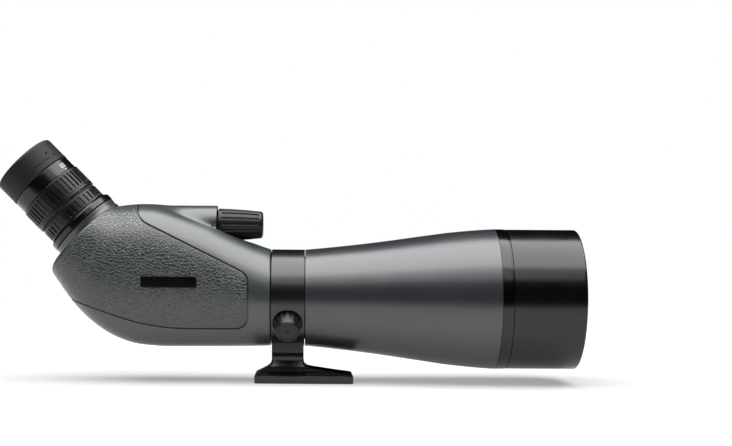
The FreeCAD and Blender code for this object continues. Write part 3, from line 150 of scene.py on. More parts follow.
def add_sheet(name, corners, colour, near, far):
    """A flat four-cornered sheet that belongs to the studio: matt, with a glow of its own.

    Each of near and far is (y, strength). The glow grows evenly with y from one to the other.
    """
    mesh = bpy.data.meshes.new(name)
    mesh.from_pydata(corners, [], [(0, 1, 2, 3)])
    sheet = bpy.data.objects.new(name, mesh)
    bpy.context.scene.collection.objects.link(sheet)
    material = bpy.data.materials.new(name + "_paper")
    material.use_nodes = True
    tree = material.node_tree
    shader = tree.nodes["Principled BSDF"]
    shader.inputs["Base Color"].default_value = (*colour, 1.0)
    shader.inputs["Roughness"].default_value = 0.85
    shader.inputs["Emission Color"].default_value = (1.0, 1.0, 1.0, 1.0)
    place = tree.nodes.new("ShaderNodeTexCoord")
    parts = tree.nodes.new("ShaderNodeSeparateXYZ")
    glow = tree.nodes.new("ShaderNodeMapRange")
    for socket, value in zip(("From Min", "To Min", "From Max", "To Max"), (*near, *far)):
        glow.inputs[socket].default_value = value
    tree.links.new(place.outputs["Object"], parts.inputs["Vector"])
    tree.links.new(parts.outputs["Y"], glow.inputs["Value"])
    tree.links.new(glow.outputs["Result"], shader.inputs["Emission Strength"])
    mesh.materials.append(material)


FLOOR = [(-1.6, -0.33, 0), (1.6, -0.33, 0), (1.6, 1.6, 0), (-1.6, 1.6, 0)]
FLOOR_GREY = (0.4, 0.4, 0.4)
add_sheet("floor", FLOOR, FLOOR_GREY, near=(0.1, 0.36), far=(0.7, 0.97))

# %% [markdown]
# ## Surfaces from numbers
# A lathe piece is one outline carried round an axis, so its whole mesh is a grid: one number goes
# along the outline, the other goes round. numpy works out every point at once. Real edges are never
# knife sharp, so an outline is given by its corners and each corner's small radius.

# %% A mesh from a grid of points


def grid_faces(rows, columns, wrap_rows, wrap_columns):
    """Four corner numbers of each cell of a grid: cell (i, j) joins rows i, i+1 and columns j, j+1."""
    i = np.arange(rows if wrap_rows else rows - 1)
    j = np.arange(columns if wrap_columns else columns - 1)
    i, j = np.meshgrid(i, j, indexing="ij")
    i2, j2 = (i + 1) % rows, (j + 1) % columns
    corners = np.stack([i * columns + j, i * columns + j2, i2 * columns + j2, i2 * columns + j], axis=-1)
    return corners.reshape(-1, 4)


def finish_mesh(name, points, faces, material, body, sharp_degrees=40, instead=(), slot=None):
    """Put points and faces in a mesh, weld what coincides, face it outwards, let it ride with a body
    and stand for the engineering nodes it dresses. slot is not used."""
    mesh = bpy.data.meshes.new(name)
    mesh.from_pydata(points.reshape(-1, 3).tolist(), [], faces.tolist())
    work = bmesh.new()
    work.from_mesh(mesh)
    bmesh.ops.remove_doubles(work, verts=work.verts, dist=2e-6)
    bmesh.ops.dissolve_degenerate(work, edges=work.edges, dist=1e-6)
    bmesh.ops.recalc_face_normals(work, faces=work.faces)
    open_edges = sum(len(edge.link_faces) != 2 for edge in work.edges)
    work.to_mesh(mesh)
    work.free()
    mesh.shade_smooth()
    mesh.set_sharp_from_angle(angle=math.radians(sharp_degrees))
    mesh.materials.append(material)
    piece = bpy.data.objects.new(name, mesh)
    bpy.context.scene.collection.objects.link(piece)
    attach(piece, body)
    if instead:
        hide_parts(*instead)
    low, high = own_box(piece)
    print(f"{name}: {len(mesh.polygons)} faces, open edges {open_edges}, "
          f"{np.round((high - low) / MM, 1)} mm")
    return piece


def own_box(piece):
    """Lowest and highest corner of a mesh object's own points."""
    count = len(piece.data.vertices)
    points = np.empty(count * 3)
    piece.data.vertices.foreach_get("co", points)
    points = points.reshape(-1, 3)
    return points.min(axis=0), points.max(axis=0)


# %% Outlines with rounded corners
STRAIGHT_HALF = math.radians(88)   # a corner this flat has nothing to round


def rounded(corners, step=2.0, steps_round=6):
    """Closed outline in mm. Each corner is (radius, along, fillet): the sharp corner is replaced by an
    arc that touches both its sides, and long straight sides are divided about every step."""
    corner_points = np.array([corner[:2] for corner in corners], float)
    fillets = [corner[2] for corner in corners]
    before = np.roll(corner_points, 1, axis=0) - corner_points
    after = np.roll(corner_points, -1, axis=0) - corner_points
    path = []
    for here, back, ahead, fillet in zip(corner_points, before, after, fillets):
        back, ahead = back / np.linalg.norm(back), ahead / np.linalg.norm(ahead)
        half = math.acos(np.clip(back.dot(ahead), -1, 1)) / 2
        if fillet <= 0 or half > STRAIGHT_HALF:
            path.append(here)
            continue
        centre = here + (back + ahead) / np.linalg.norm(back + ahead) * fillet / math.sin(half)
        start = here + back * fillet / math.tan(half) - centre
        end = here + ahead * fillet / math.tan(half) - centre
        sweep = math.pi - 2 * half
        share = np.linspace(0, 1, steps_round)[:, None]
        arc = (np.sin((1 - share) * sweep) * start + np.sin(share * sweep) * end) / math.sin(sweep)
        path.extend(centre + arc)
    path = np.array(path)
    ahead = np.roll(path, -1, axis=0)
    pieces = []
    for first, last in zip(path, ahead):
        count = max(1, int(np.linalg.norm(last - first) / step))
        share = np.arange(count)[:, None] / count
        pieces.append(first + (last - first) * share)
    return np.concatenate(pieces)


def carry_round(axis, radius, along, turn):
    """Points at a radius and a distance along an axis, turned by an angle that starts from up."""
    origin, forward, up, side = axis
    ring = np.cos(turn)[..., None] * up + np.sin(turn)[..., None] * side
    return origin + (along * MM)[..., None] * forward + (radius * MM)[..., None] * ring


def lathe(name, axis, outline, material, body, around=240, relief=None, **words):
    """Surface of revolution. outline is a loop of (radius, along) in mm, open where it starts and ends
    on the axis; relief(turn, along, radius) is added to the radius, so that ribs, slots and flats are
    part of the surface."""
    turn = np.arange(around) * 2 * np.pi / around
    radius = np.repeat(outline[:, :1], around, axis=1)
    along = np.repeat(outline[:, 1:], around, axis=1)
    turn = np.repeat(turn[None, :], len(outline), axis=0)
    if relief is not None:
        radius = radius + relief(turn, along, radius)
    points = carry_round(axis, radius, along, turn)
    closes_on_axis = outline[0, 0] < 1e-9 and outline[-1, 0] < 1e-9
    faces = grid_faces(len(outline), around, not closes_on_axis, True)
    return finish_mesh(name, points, faces, material, body, **words)


# %% [markdown]
# ## Finishes
# Paint, anodising, rubber and glass are all one shader with different numbers, plus small-scale
# relief. Every pattern is read in object coordinates, so it keeps its size in millimetres and stays
# on its piece when the piece moves.

# %% Helpers for materials


class Finish:
    """A material with short calls for the nodes that this lesson uses."""

    def __init__(self, name, colour, roughness, metallic=0.0, coat=0.0, specular=0.5):
        self.material = bpy.data.materials.new(name)
        self.material.use_nodes = True
        self.tree = self.material.node_tree
        self.shader = self.tree.nodes["Principled BSDF"]
        self.shader.inputs["Base Color"].default_value = (*colour, 1.0)
        self.shader.inputs["Roughness"].default_value = roughness
        self.shader.inputs["Metallic"].default_value = metallic
        self.shader.inputs["Coat Weight"].default_value = coat
        self.shader.inputs["Coat Roughness"].default_value = 0.0
        self.shader.inputs["Specular IOR Level"].default_value = specular
        self.place = self.tree.nodes.new("ShaderNodeTexCoord").outputs["Object"]
        self.height = None

    def link(self, source, target):
        """Feed one node's output to another's input."""
        self.tree.links.new(source, target)

    def stretched(self, scale):
        """Object coordinates scaled by three numbers."""
        mapping = self.tree.nodes.new("ShaderNodeMapping")
        mapping.inputs["Scale"].default_value = scale
        self.link(self.place, mapping.inputs["Vector"])
        return mapping.outputs["Vector"]

    def noise(self, size_mm, detail=3.0, where=None, distortion=0.0):
        """Noise whose blobs are about size_mm across."""
        node = self.tree.nodes.new("ShaderNodeTexNoise")
        node.inputs["Scale"].default_value = 1.0 / (size_mm * MM)
        node.inputs["Detail"].default_value = detail
        node.inputs["Distortion"].default_value = distortion
        self.link(where or self.place, node.inputs["Vector"])
        return node.outputs["Fac"]

    def warped(self, size_mm, shift_mm):
        """Object coordinates pushed about by noise, so that cells made from them have curved sides."""
        node = self.tree.nodes.new("ShaderNodeTexNoise")
        node.inputs["Scale"].default_value = 1.0 / (size_mm * MM)
        self.link(self.place, node.inputs["Vector"])
        push = self.tree.nodes.new("ShaderNodeVectorMath")
        push.operation = "MULTIPLY_ADD"
        push.inputs[1].default_value = (shift_mm * MM,) * 3
        self.link(node.outputs["Color"], push.inputs[0])
        self.link(self.place, push.inputs[2])
        return push.outputs["Vector"]

    def cells(self, size_mm, where):
        """Distance from the edge inside Voronoi cells of about size_mm."""
        node = self.tree.nodes.new("ShaderNodeTexVoronoi")
        node.feature = "DISTANCE_TO_EDGE"
        node.inputs["Scale"].default_value = 1.0 / (size_mm * MM)
        self.link(where, node.inputs["Vector"])
        return node.outputs["Distance"]

    def ramp(self, factor, stops):
        """Colour or grey by position: stops are (place, colour)."""
        node = self.tree.nodes.new("ShaderNodeValToRGB")
        elements = node.color_ramp.elements
        while len(elements) < len(stops):
            elements.new(0.5)
        for element, (place, colour) in zip(elements, stops):
            element.position = place
            element.color = (*colour, 1.0)
        self.link(factor, node.inputs["Fac"])
        return node.outputs["Color"]

    def between(self, factor, low, high):
        """factor from 0 to 1 stretched to run from low to high."""
        node = self.tree.nodes.new("ShaderNodeMapRange")
        node.inputs["To Min"].default_value = low
        node.inputs["To Max"].default_value = high
        self.link(factor, node.inputs["Value"])
        return node.outputs["Result"]

    def roughness_from(self, factor, low, high):
        """Roughness that follows a factor."""
        self.link(self.between(factor, low, high), self.shader.inputs["Roughness"])

    def colour_from(self, factor, dark, light, start=0.3, end=0.7):
        """Colour that goes from dark to light while the factor goes from start to end."""
        self.link(self.ramp(factor, [(start, dark), (end, light)]), self.shader.inputs["Base Color"])

    def bump(self, factor, depth_mm):
        """Relief of a depth in mm, stacked on any relief before it."""
        node = self.tree.nodes.new("ShaderNodeBump")
        node.inputs["Strength"].default_value = 1.0
        node.inputs["Distance"].default_value = depth_mm * MM
        self.link(factor, node.inputs["Height"])
        if self.height is not None:
            self.link(self.height, node.inputs["Normal"])
        self.height = node.outputs["Normal"]
        self.link(self.height, self.shader.inputs["Normal"])


# %% Paints and metals


def satin_paint(name, colour, roughness, specular=1.0):
    """Sprayed satin paint: faint orange peel, slow change of gloss, hardly any change of colour."""
    finish = Finish(name, colour, roughness, specular=specular)
    peel = finish.noise(0.9, detail=2.0)
    cloud = finish.noise(28.0, detail=4.0)
    darker = tuple(channel * 0.93 for channel in colour)
    lighter = tuple(channel * 1.06 for channel in colour)
    finish.colour_from(cloud, darker, lighter)
    finish.roughness_from(cloud, roughness - 0.03, roughness + 0.04)
    finish.bump(peel, 0.012)
    return finish.material


def gloss_paint(name, colour, roughness, specular=0.5):
    """Smooth black enamel or anodising with a trace of handling in its gloss."""
    finish = Finish(name, colour, roughness, specular=specular)
    smear = finish.noise(14.0, detail=6.0, distortion=0.6)
    finish.roughness_from(smear, roughness - 0.04, roughness + 0.08)
    finish.bump(finish.noise(0.7, detail=1.0), 0.004)
    return finish.material


def machined(name, colour, roughness):
    """Turned metal: fine tool marks round the axis."""
    finish = Finish(name, colour, roughness, metallic=1.0)
    marks = finish.noise(0.12, detail=2.0, where=finish.stretched((1.0, 0.02, 0.02)))
    finish.roughness_from(marks, roughness - 0.05, roughness + 0.1)
    finish.bump(marks, 0.004)
    return finish.material


tube_paint = satin_paint("tube_grey_paint", (0.017, 0.0185, 0.023), 0.3)
body_paint = satin_paint("body_green_paint", (0.025, 0.034, 0.030), 0.34)
stand_paint = satin_paint("stand_black_paint", (0.003, 0.003, 0.0045), 0.26, specular=0.7)
hood_black = gloss_paint("hood_black_enamel", (0.0016, 0.0014, 0.0012), 0.2)
ring_black = gloss_paint("ring_black_enamel", (0.0008, 0.0008, 0.001), 0.16)
badge_black = gloss_paint("badge_black_enamel", (0.001, 0.001, 0.001), 0.3, specular=0.2)
flange_black = gloss_paint("flange_black_anodise", (0.002, 0.002, 0.002), 0.2)
steel = machined("turned_steel", (0.55, 0.56, 0.58), 0.28)
brass = machined("turned_brass", (0.72, 0.52, 0.25), 0.25)
bright_metal = machined("turned_aluminium", (0.75, 0.76, 0.78), 0.3)


# %% Rubber, matt black and glass


def moulded_rubber(name, colour, roughness, grain_mm=0.35, depth=0.02, specular=0.4):
    """Moulded rubber: matt, with the fine grain of the mould's spark-eroded wall."""
    finish = Finish(name, colour, roughness, specular=specular)
    grain = finish.noise(grain_mm, detail=3.0)
    cloud = finish.noise(18.0, detail=3.0)
    finish.colour_from(cloud, tuple(c * 0.85 for c in colour), tuple(c * 1.15 for c in colour))
    finish.roughness_from(cloud, roughness - 0.05, roughness + 0.06)
    finish.bump(grain, depth)
    return finish.material


def leather_grain(name, colour, roughness):
    """Rubber armour with a leather grain: pebbles parted by creases, with finer wrinkles on them, and painted
    shade that darkens the creases.
    """
    finish = Finish(name, colour, roughness, specular=1.0)
    pebbles = finish.cells(2.1, where=finish.warped(0.9, 0.9))
    greys = [(0.0, 0.0), (0.1, 0.75), (0.5, 1.0)]
    creases = finish.ramp(pebbles, [(place, (grey,) * 3) for place, grey in greys])
    # painted shade: the colour drops to less than half down in the creases and is a little lighter on the pebbles
    dark, light = (tuple(channel * part for channel in colour) for part in (0.45, 1.15))
    finish.colour_from(creases, dark, light, start=0.0, end=0.8)
    finish.roughness_from(finish.noise(1.3, detail=2.0), roughness - 0.12, roughness + 0.12)
    finish.bump(creases, 0.19)
    finish.bump(finish.noise(0.7, detail=3.0), 0.05)
    return finish.material


armour_rubber = leather_grain("armour_leather_grain", (0.019, 0.026, 0.0235), 0.32)
cup_rubber = moulded_rubber("cup_rubber", (0.008, 0.008, 0.0085), 0.55, specular=0.3)
grip_rubber = moulded_rubber("grip_rubber", (0.004, 0.004, 0.0045), 0.34, grain_mm=0.25, depth=0.006)
matt_black = moulded_rubber("matt_black", (0.008, 0.008, 0.008), 0.75, grain_mm=0.2, depth=0.01)
felt = moulded_rubber("black_felt", (0.012, 0.012, 0.012), 0.95, grain_mm=0.15, depth=0.05)
nylon = moulded_rubber("natural_nylon", (0.62, 0.60, 0.54), 0.5, grain_mm=0.3, depth=0.006)
white_ink = moulded_rubber("white_ink", (0.75, 0.75, 0.75), 0.5, grain_mm=0.2, depth=0.004)


def coated_glass(name, tint):
    """Clear glass with the faint coloured reflection of its anti-glare coating."""
    finish = Finish(name, (0.9, 0.95, 0.93), 0.02, coat=1.0)
    finish.shader.inputs["Transmission Weight"].default_value = 0.92
    finish.shader.inputs["IOR"].default_value = 1.45
    finish.shader.inputs["Specular Tint"].default_value = (*tint, 1.0)
    finish.bump(finish.noise(30.0, detail=1.0), 0.0005)
    return finish.material


front_glass = coated_glass("objective_glass", (0.55, 0.95, 0.70))
eye_glass = coated_glass("eyepiece_glass", (0.75, 0.60, 0.95))

CAD_FINISHES = {
    "stand_black": stand_paint, "brass": brass, "steel": steel, "nylon": nylon,
    "bright_metal": bright_metal, "black_metal": matt_black, "gloss_black": flange_black,
    "tube_grey": tube_paint, "body_green": body_paint, "armour": armour_rubber,
    "soft_rubber": cup_rubber, "grip_rubber": grip_rubber, "badge": badge_black, "felt": felt,
    "glass": eye_glass,
}
BLACKENED = ("collar_sleeve", "focus_bush", "light_baffle", "eyepiece_base")
OBJECTIVE = ("objective_front_lens", "objective_rear_lens")
for entry in frame["record"]["subparts"]:
    piece = nodes[entry["node"]]
    wanted = matt_black if entry["node"] in BLACKENED else CAD_FINISHES[entry["material_slot"]]
    wanted = front_glass if entry["node"] in OBJECTIVE else wanted
    for material_slot in piece.material_slots:
        material_slot.material = wanted
print("finishes given to", len(nodes), "engineering nodes")

# %% [markdown]
# ## Objective tube
# The tube is spun and turned aluminium, sprayed a blue-grey. It swells in one long S from the collar
# to the front ring. A curve through a few radii, with level slopes at its ends, is carried round.

# %% Tube
tube_low, tube_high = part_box("objective_tube")
TUBE_REAR, TUBE_FRONT = tube_low[0] / MM, tube_high[0] / MM
NECK_R = 33.4
FRONT_R = 48.4
TUBE_WALL = 2.0


def smooth_curve(stations, values, wanted, end_slopes):
    """Cubic Hermite curve through (station, value) pairs. Inside slopes are those of the chord between
    the two neighbours; the end slopes are given."""
    stations, values = np.array(stations, float), np.array(values, float)
    slopes = np.empty(len(values))
    slopes[1:-1] = (values[2:] - values[:-2]) / (stations[2:] - stations[:-2])
    slopes[0], slopes[-1] = end_slopes
    cell = np.clip(np.searchsorted(stations, wanted, side="right") - 1, 0, len(stations) - 2)
    width = stations[cell + 1] - stations[cell]
    t = (wanted - stations[cell]) / width
    rise = values[cell + 1] - values[cell]
    blend = t * t * (3 - 2 * t)
    left = t * (1 - t) ** 2 * width * slopes[cell]
    right = t * t * (t - 1) * width * slopes[cell + 1]
    return values[cell] + blend * rise + left + right


def tube_outline():
    """Outer curve from the neck to the front, then the inner wall back."""
    shares = np.array([0.0, 0.26, 0.44, 0.61, 0.78, 1.0])
    radii = [NECK_R, 36.9, 39.9, 43.1, 46.1, FRONT_R]
    along = np.linspace(TUBE_REAR, TUBE_FRONT, 90)
    length = TUBE_FRONT - TUBE_REAR
    radius = smooth_curve(TUBE_REAR + shares * length, radii, along, (0.08, 0.04))
    outside = np.stack([radius, along], axis=1)
    outside[0] = (NECK_R - 0.3, TUBE_REAR)
    outside = np.insert(outside, 1, [(NECK_R - 0.08, TUBE_REAR + 0.08), (NECK_R, TUBE_REAR + 0.3)], axis=0)
    inside = outside[::-1].copy()
    inside[:, 0] -= TUBE_WALL
    return np.concatenate([outside, inside])


lathe("tube_skin", TUBE, tube_outline(), tube_paint, "scope", around=320,
      instead=["objective_tube"], slot="tube_grey")

# %% [markdown]
# ## Front ring and sliding hood
# A black ring closes the tube and carries the long spigot that the hood slides on. The hood is a
# plain drawn tube: what makes it read as real is its rolled front edge and the fine ridges inside.

# %% Front ring
hood_low, hood_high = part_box("hood")
HOOD_REAR, HOOD_FRONT = hood_low[0] / MM, hood_high[0] / MM
HOOD_R = 48.2
HOOD_BORE_R = 46.4
HOOD_LIP_R = 45.6
HOOD_LIP = 7.0
RING_FRONT = HOOD_REAR - 0.3
SPIGOT_R = 46.3
SPIGOT_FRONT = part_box("lens_barrel")[1][0] / MM
SPIGOT_BORE_R = 44.2


def front_ring_outline():
    """Lap inside the tube, the visible ring with a shallow band between two rims, then the spigot."""
    ring_rear = TUBE_FRONT + 0.15
    return rounded([
        (SPIGOT_BORE_R - 2, ring_rear - 6, 0.2), (FRONT_R - 2.3, ring_rear - 6, 0.2),
        (FRONT_R - 2.3, ring_rear, 0), (FRONT_R, ring_rear, 0.25), (FRONT_R, RING_FRONT - 0.9, 0.1),
        (FRONT_R - 0.25, RING_FRONT - 0.75, 0.1), (FRONT_R - 0.25, RING_FRONT, 0.15),
        (SPIGOT_R, RING_FRONT, 0), (SPIGOT_R, SPIGOT_FRONT, 0.4), (SPIGOT_BORE_R, SPIGOT_FRONT, 0.4),
        (SPIGOT_BORE_R, SPIGOT_FRONT - 30, 0), (SPIGOT_BORE_R - 2, SPIGOT_FRONT - 30, 0)], step=3.0)


lathe("front_ring", TUBE, front_ring_outline(), ring_black, "scope", around=320,
      instead=["lens_barrel"], slot="gloss_black")

# %% Hood
RIDGE_PITCH = 1.4
RIDGE_DEPTH = 0.28


def hood_outline():
    """Outside, rolled rim and lip, then saw-tooth ridges against glare, then the plain bore."""
    shell = rounded([
        (HOOD_BORE_R, HOOD_REAR, 0.3), (HOOD_R, HOOD_REAR, 0.35), (HOOD_R, HOOD_FRONT, 1.35),
        (HOOD_LIP_R, HOOD_FRONT, 0.9), (HOOD_LIP_R, HOOD_FRONT - 1.0, 0)], step=1.5, steps_round=8)
    last = np.flatnonzero((shell[:, 0] <= HOOD_LIP_R + 1e-6) & (shell[:, 1] <= HOOD_FRONT - 1.0 + 1e-6))[0]
    start = HOOD_FRONT - 1.1 - np.arange(int((HOOD_LIP - 1.2) / RIDGE_PITCH)) * RIDGE_PITCH
    teeth = np.stack([[np.full(len(start), HOOD_LIP_R), start],
                      [np.full(len(start), HOOD_LIP_R + RIDGE_DEPTH), start - 0.9 * RIDGE_PITCH]])
    bore = [(HOOD_LIP_R, HOOD_FRONT - HOOD_LIP), (HOOD_BORE_R, HOOD_FRONT - HOOD_LIP - 1)]
    return np.concatenate([shell[:last + 1], teeth.transpose(2, 0, 1).reshape(-1, 2), bore])


lathe("hood_skin", TUBE, hood_outline(), hood_black, "hood", around=320,
      instead=["hood"], slot="gloss_black")

# %% [markdown]
# ## Collar, foot and collar lock
# The scope turns in a collar on a cast foot. The collar has a flat where the lock knob sits. The
# foot's section is a rounded rectangle at every height, narrow at the waist and wide at the base.

# %% Collar
collar_low, collar_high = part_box("collar_ring")
COLLAR_REAR, COLLAR_FRONT = collar_low[0] / MM, collar_high[0] / MM
COLLAR_X = (COLLAR_REAR + COLLAR_FRONT) / 2
COLLAR_BORE_R = 29.3
SEAT_OUT = 32.0
SEAT_R = 9.8
LOCK_TURN = math.atan2(LOCK[1].dot(TUBE[3]), LOCK[1].dot(TUBE[2]))


def lock_flat(turn, along, radius):
    """How far the surface drops to lie on the seat's plane, inside the seat's circle only."""
    across = radius * np.sin(turn - LOCK_TURN)
    out = radius * np.cos(turn - LOCK_TURN)
    inside = np.clip((SEAT_R - np.hypot(across, along - COLLAR_X)) / 0.35, 0, 1)
    facing = np.cos(turn - LOCK_TURN) > 0.8
    drop = np.minimum(0, SEAT_OUT / np.cos(turn - LOCK_TURN) - radius)
    return np.where(facing & (out > SEAT_OUT), inside * drop, 0.0)


collar_outline = rounded([
    (COLLAR_BORE_R, COLLAR_REAR, 0.2), (NECK_R, COLLAR_REAR, 0.45), (NECK_R, COLLAR_FRONT, 0.45),
    (COLLAR_BORE_R, COLLAR_FRONT, 0.2)], step=0.45)
lathe("collar_skin", TUBE, collar_outline, stand_paint, "stand", around=480, relief=lock_flat,
      instead=["collar_ring"], slot="stand_black")

dot_axis = axis_of((COLLAR_X * MM, 0, AXIS_Z), (0, -1, 0), (0, 0, 1))
dot_outline = rounded([(0, NECK_R - 0.6, 0), (0.7, NECK_R - 0.6, 0), (0.7, NECK_R - 0.02, 0.1),
                       (0, NECK_R - 0.02, 0)], step=0.2)
lathe("collar_index_dot", dot_axis, dot_outline, white_ink, "stand", around=24)

# %% Foot
foot_low, foot_high = (np.array(corner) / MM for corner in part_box("tripod_foot"))
COLUMN_HALF = 11.0
COLUMN_FRONT, COLUMN_REAR = COLLAR_X + COLUMN_HALF, COLLAR_X - COLUMN_HALF
# outlines of the casting as (height, place)
FRONT_SIDE = [(0, foot_high[0]), (5.4, foot_high[0]), (10.4, COLUMN_FRONT + 3.0),
              (12.4, COLUMN_FRONT + 0.7), (15.5, COLUMN_FRONT), (40, COLUMN_FRONT)]
REAR_SIDE = [(0, foot_low[0]), (5.4, foot_low[0]), (10.0, COLUMN_REAR - 3.4),
             (12.4, COLUMN_REAR - 0.7), (15.5, COLUMN_REAR), (40, COLUMN_REAR)]
HALF_WIDTH = [(0, foot_high[1]), (5.4, foot_high[1]), (7.4, foot_high[1] - 6.5), (10.8, 11.9), (15.0, 9.5),
              (18.0, 10.3), (20.8, 13.0), (40, 13.0)]
BLOCK_FROM = 20.8
BLOCK_ROWS = 18
CRADLE_GAP = 0.03
INSERT_R = 5.05
INSERT_FLANGE_R = 6.55


def softened(profile, height, reach):
    """Profile of (height, value) read at a height and averaged over a reach, which rounds its corners."""
    offsets = np.linspace(-reach, reach, 9)
    steps, values = np.array(profile, float).T
    return np.interp(height[:, None] + offsets, steps, values).mean(axis=1)


def rounded_rectangle(x_rear, x_front, half_width, corner, side_points=20, corner_points=7):
    """Rows of points round rectangles: four sides and four corner arcs, anticlockwise from above."""
    share = np.linspace(0, 1, side_points, endpoint=False)
    sweep = np.linspace(0, 1, corner_points, endpoint=False) * np.pi / 2
    middle, half = (x_rear + x_front) / 2, (x_front - x_rear) / 2
    parts_x, parts_y = [], []
    for quarter in range(4):
        c, s = round(math.cos(quarter * math.pi / 2)), round(math.sin(quarter * math.pi / 2))
        reach, width = (half, half_width) if quarter % 2 == 0 else (half_width, half)
        bend = corner[:, None] * np.concatenate([np.ones(side_points), np.cos(sweep)])
        x = (reach - corner)[:, None] + bend
        line = (width - corner)[:, None] * np.concatenate([share * 2 - 1, np.ones(corner_points)])
        y = line + corner[:, None] * np.concatenate([np.zeros(side_points), np.sin(sweep)])
        parts_x.append(x * c - y * s)
        parts_y.append(x * s + y * c)
    return np.concatenate(parts_x, axis=1) + middle[:, None], np.concatenate(parts_y, axis=1)


def cradle_height(y):
    """Height of the cradle under the collar: the collar's circle, less a small gap."""
    return AXIS_Z / MM - np.sqrt(NECK_R ** 2 - y ** 2) - CRADLE_GAP


def foot_points():
    """Rows from the thread's recess, out under the base, up the casting and over the cradle."""
    height = np.concatenate([[0, 0.12, 0.4], np.arange(0.8, BLOCK_FROM, 0.3),
                             np.full(BLOCK_ROWS, BLOCK_FROM)])
    bevel = np.interp(height, [0, 0.12, 0.4], [0.4, 0.15, 0])
    front = softened(FRONT_SIDE, height, 0.55) - bevel
    rear = softened(REAR_SIDE, height, 0.55) + bevel
    half = softened(HALF_WIDTH, height, 0.45) - bevel
    corner = np.interp(height, [0, 6, 14, 40], [2.0, 2.0, 1.4, 1.0])
    x, y = rounded_rectangle(rear, front, half, corner)
    z = np.repeat(height[:, None], x.shape[1], axis=1)
    rise = np.concatenate([np.zeros(len(height) - BLOCK_ROWS), np.linspace(0, 1, BLOCK_ROWS)])[:, None]
    z = z + rise * (cradle_height(y) - z)
    side = np.stack([x, y, z], axis=-1)
    share = np.linspace(1, 0, 12)[1:, None]
    top_y = y[-1] * share
    top = np.stack([np.repeat(x[-1:], len(share), axis=0), top_y, cradle_height(top_y)], axis=-1)
    turn = np.arctan2(y[0], x[0])
    bore = [(0, 10), (INSERT_R, 10), (INSERT_R, 1.25), (INSERT_FLANGE_R, 1.25), (INSERT_FLANGE_R, 0)]
    recess = [np.stack([r * np.cos(turn), r * np.sin(turn), turn * 0 + h], axis=-1) for r, h in bore]
    return np.concatenate([np.array(recess), side, top]) * MM


points = foot_points()
finish_mesh("foot_casting", points, grid_faces(points.shape[0], points.shape[1], False, True), stand_paint,
            "stand", sharp_degrees=35, instead=["tripod_foot"], slot="stand_black")

# %% [markdown]
# ## Knobs
# A grip is a plain turned shape with slots pressed in it. A slot is a distance: how far a point is
# from the slot's middle line, measured sideways between its ends and round them past its ends.

# %% Slots as relief


def slots(count, start, end, half_width, depth, outside, edge=0.35):
    """Relief for a lathe piece: count slots with round ends, from start to end along the axis. Only
    the surface beyond the outside radius is pressed in."""
    def relief(turn, along, radius):
        pitch = 2 * np.pi / count
        away = np.abs((turn + pitch / 2) % pitch - pitch / 2) * radius
        past = np.maximum(0, np.maximum(start + half_width - along, along - end + half_width))
        inside = np.clip((half_width - np.hypot(away, past)) / edge, 0, 1)
        return np.where(radius > outside, -depth * inside * inside * (3 - 2 * inside), 0.0)
    return relief


# %% Collar lock knob
KNOB_BASE = 32.7
KNOB_FACE = 44.3
knob_outline = rounded([
    (0, KNOB_FACE - 1.1, 0), (0.9, KNOB_FACE - 1.1, 0.15), (1.3, KNOB_FACE - 0.5, 0.15),
    (5.9, KNOB_FACE - 0.5, 0.15), (6.3, KNOB_FACE, 0.2), (7.3, KNOB_FACE, 0.3), (7.75, KNOB_FACE - 0.6, 0.3),
    (8.8, KNOB_BASE + 3.4, 0.5), (8.8, KNOB_BASE, 0.3), (4.9, KNOB_BASE, 0.1), (4.9, KNOB_BASE + 2.6, 0),
    (0, KNOB_BASE + 2.6, 0)], step=0.35, steps_round=5)
lathe("lock_knob_skin", LOCK, knob_outline, grip_rubber, "lock_knob", around=336,
      relief=slots(14, KNOB_BASE - 3, KNOB_BASE + 6.6, 1.0, 0.7, outside=7.6),
      instead=["lock_knob"], slot="stand_black")

# %% Focus knob
grip_low, grip_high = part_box("focus_grip")
FOCUS_REAR, FOCUS_FRONT = grip_low[0] / MM, grip_high[0] / MM
FOCUS_REAR_R = 11.2
FOCUS_FRONT_R = 9.4


def focus_outline():
    """Rear face, a slightly bulging side that tapers to the front, a rounded nose and the bore."""
    along = np.linspace(FOCUS_REAR + 0.5, FOCUS_FRONT - 2.0, 84)
    share = (along - along[0]) / (along[-1] - along[0])
    radius = FOCUS_REAR_R + (FOCUS_FRONT_R - FOCUS_REAR_R) * share + 1.4 * share * (1 - share)
    sweep = np.linspace(0, np.pi / 2, 8)[1:]
    nose = np.stack([FOCUS_FRONT_R - 2.0 + 2.0 * np.cos(sweep),
                     FOCUS_FRONT - 2.0 + 2.0 * np.sin(sweep)], axis=1)
    rear = [(7.4, FOCUS_REAR), (FOCUS_REAR_R - 0.5, FOCUS_REAR), (FOCUS_REAR_R - 0.15, FOCUS_REAR + 0.15)]
    rest = [(6.9, FOCUS_FRONT), (6.4, FOCUS_FRONT - 0.15), (6.4, FOCUS_FRONT - 2.0),
            (7.4, FOCUS_FRONT - 2.0)]
    return np.concatenate([rear, np.stack([radius, along], axis=1), nose, rest])


lathe("focus_grip_skin", KNOB, focus_outline(), grip_rubber, "focus_knob", around=384,
      relief=slots(16, FOCUS_REAR + 2.2, FOCUS_FRONT - 2.4, 1.0, 0.75, edge=0.8, outside=8.6),
      instead=["focus_grip"], slot="grip_rubber")
cap_outline = rounded([(0, FOCUS_FRONT - 1.9, 0), (6.3, FOCUS_FRONT - 1.9, 0), (6.3, FOCUS_FRONT - 0.25, 0.4),
                       (0, FOCUS_FRONT - 0.25, 0)], step=0.8)
lathe("focus_cap_skin", KNOB, cap_outline, grip_rubber, "focus_knob", around=96,
      instead=["focus_knob_cap"], slot="gloss_black")

# %% [markdown]
# ## Eyepiece
# Every ring of the eyepiece is turned about the tilted axis. From the housing up they are a flange,
# a ribbed lock ring, the slotted zoom ring, a smooth ring with the scale, and the rubber cup.
# Heights along the axis are counted from the middle of the zoom ring.

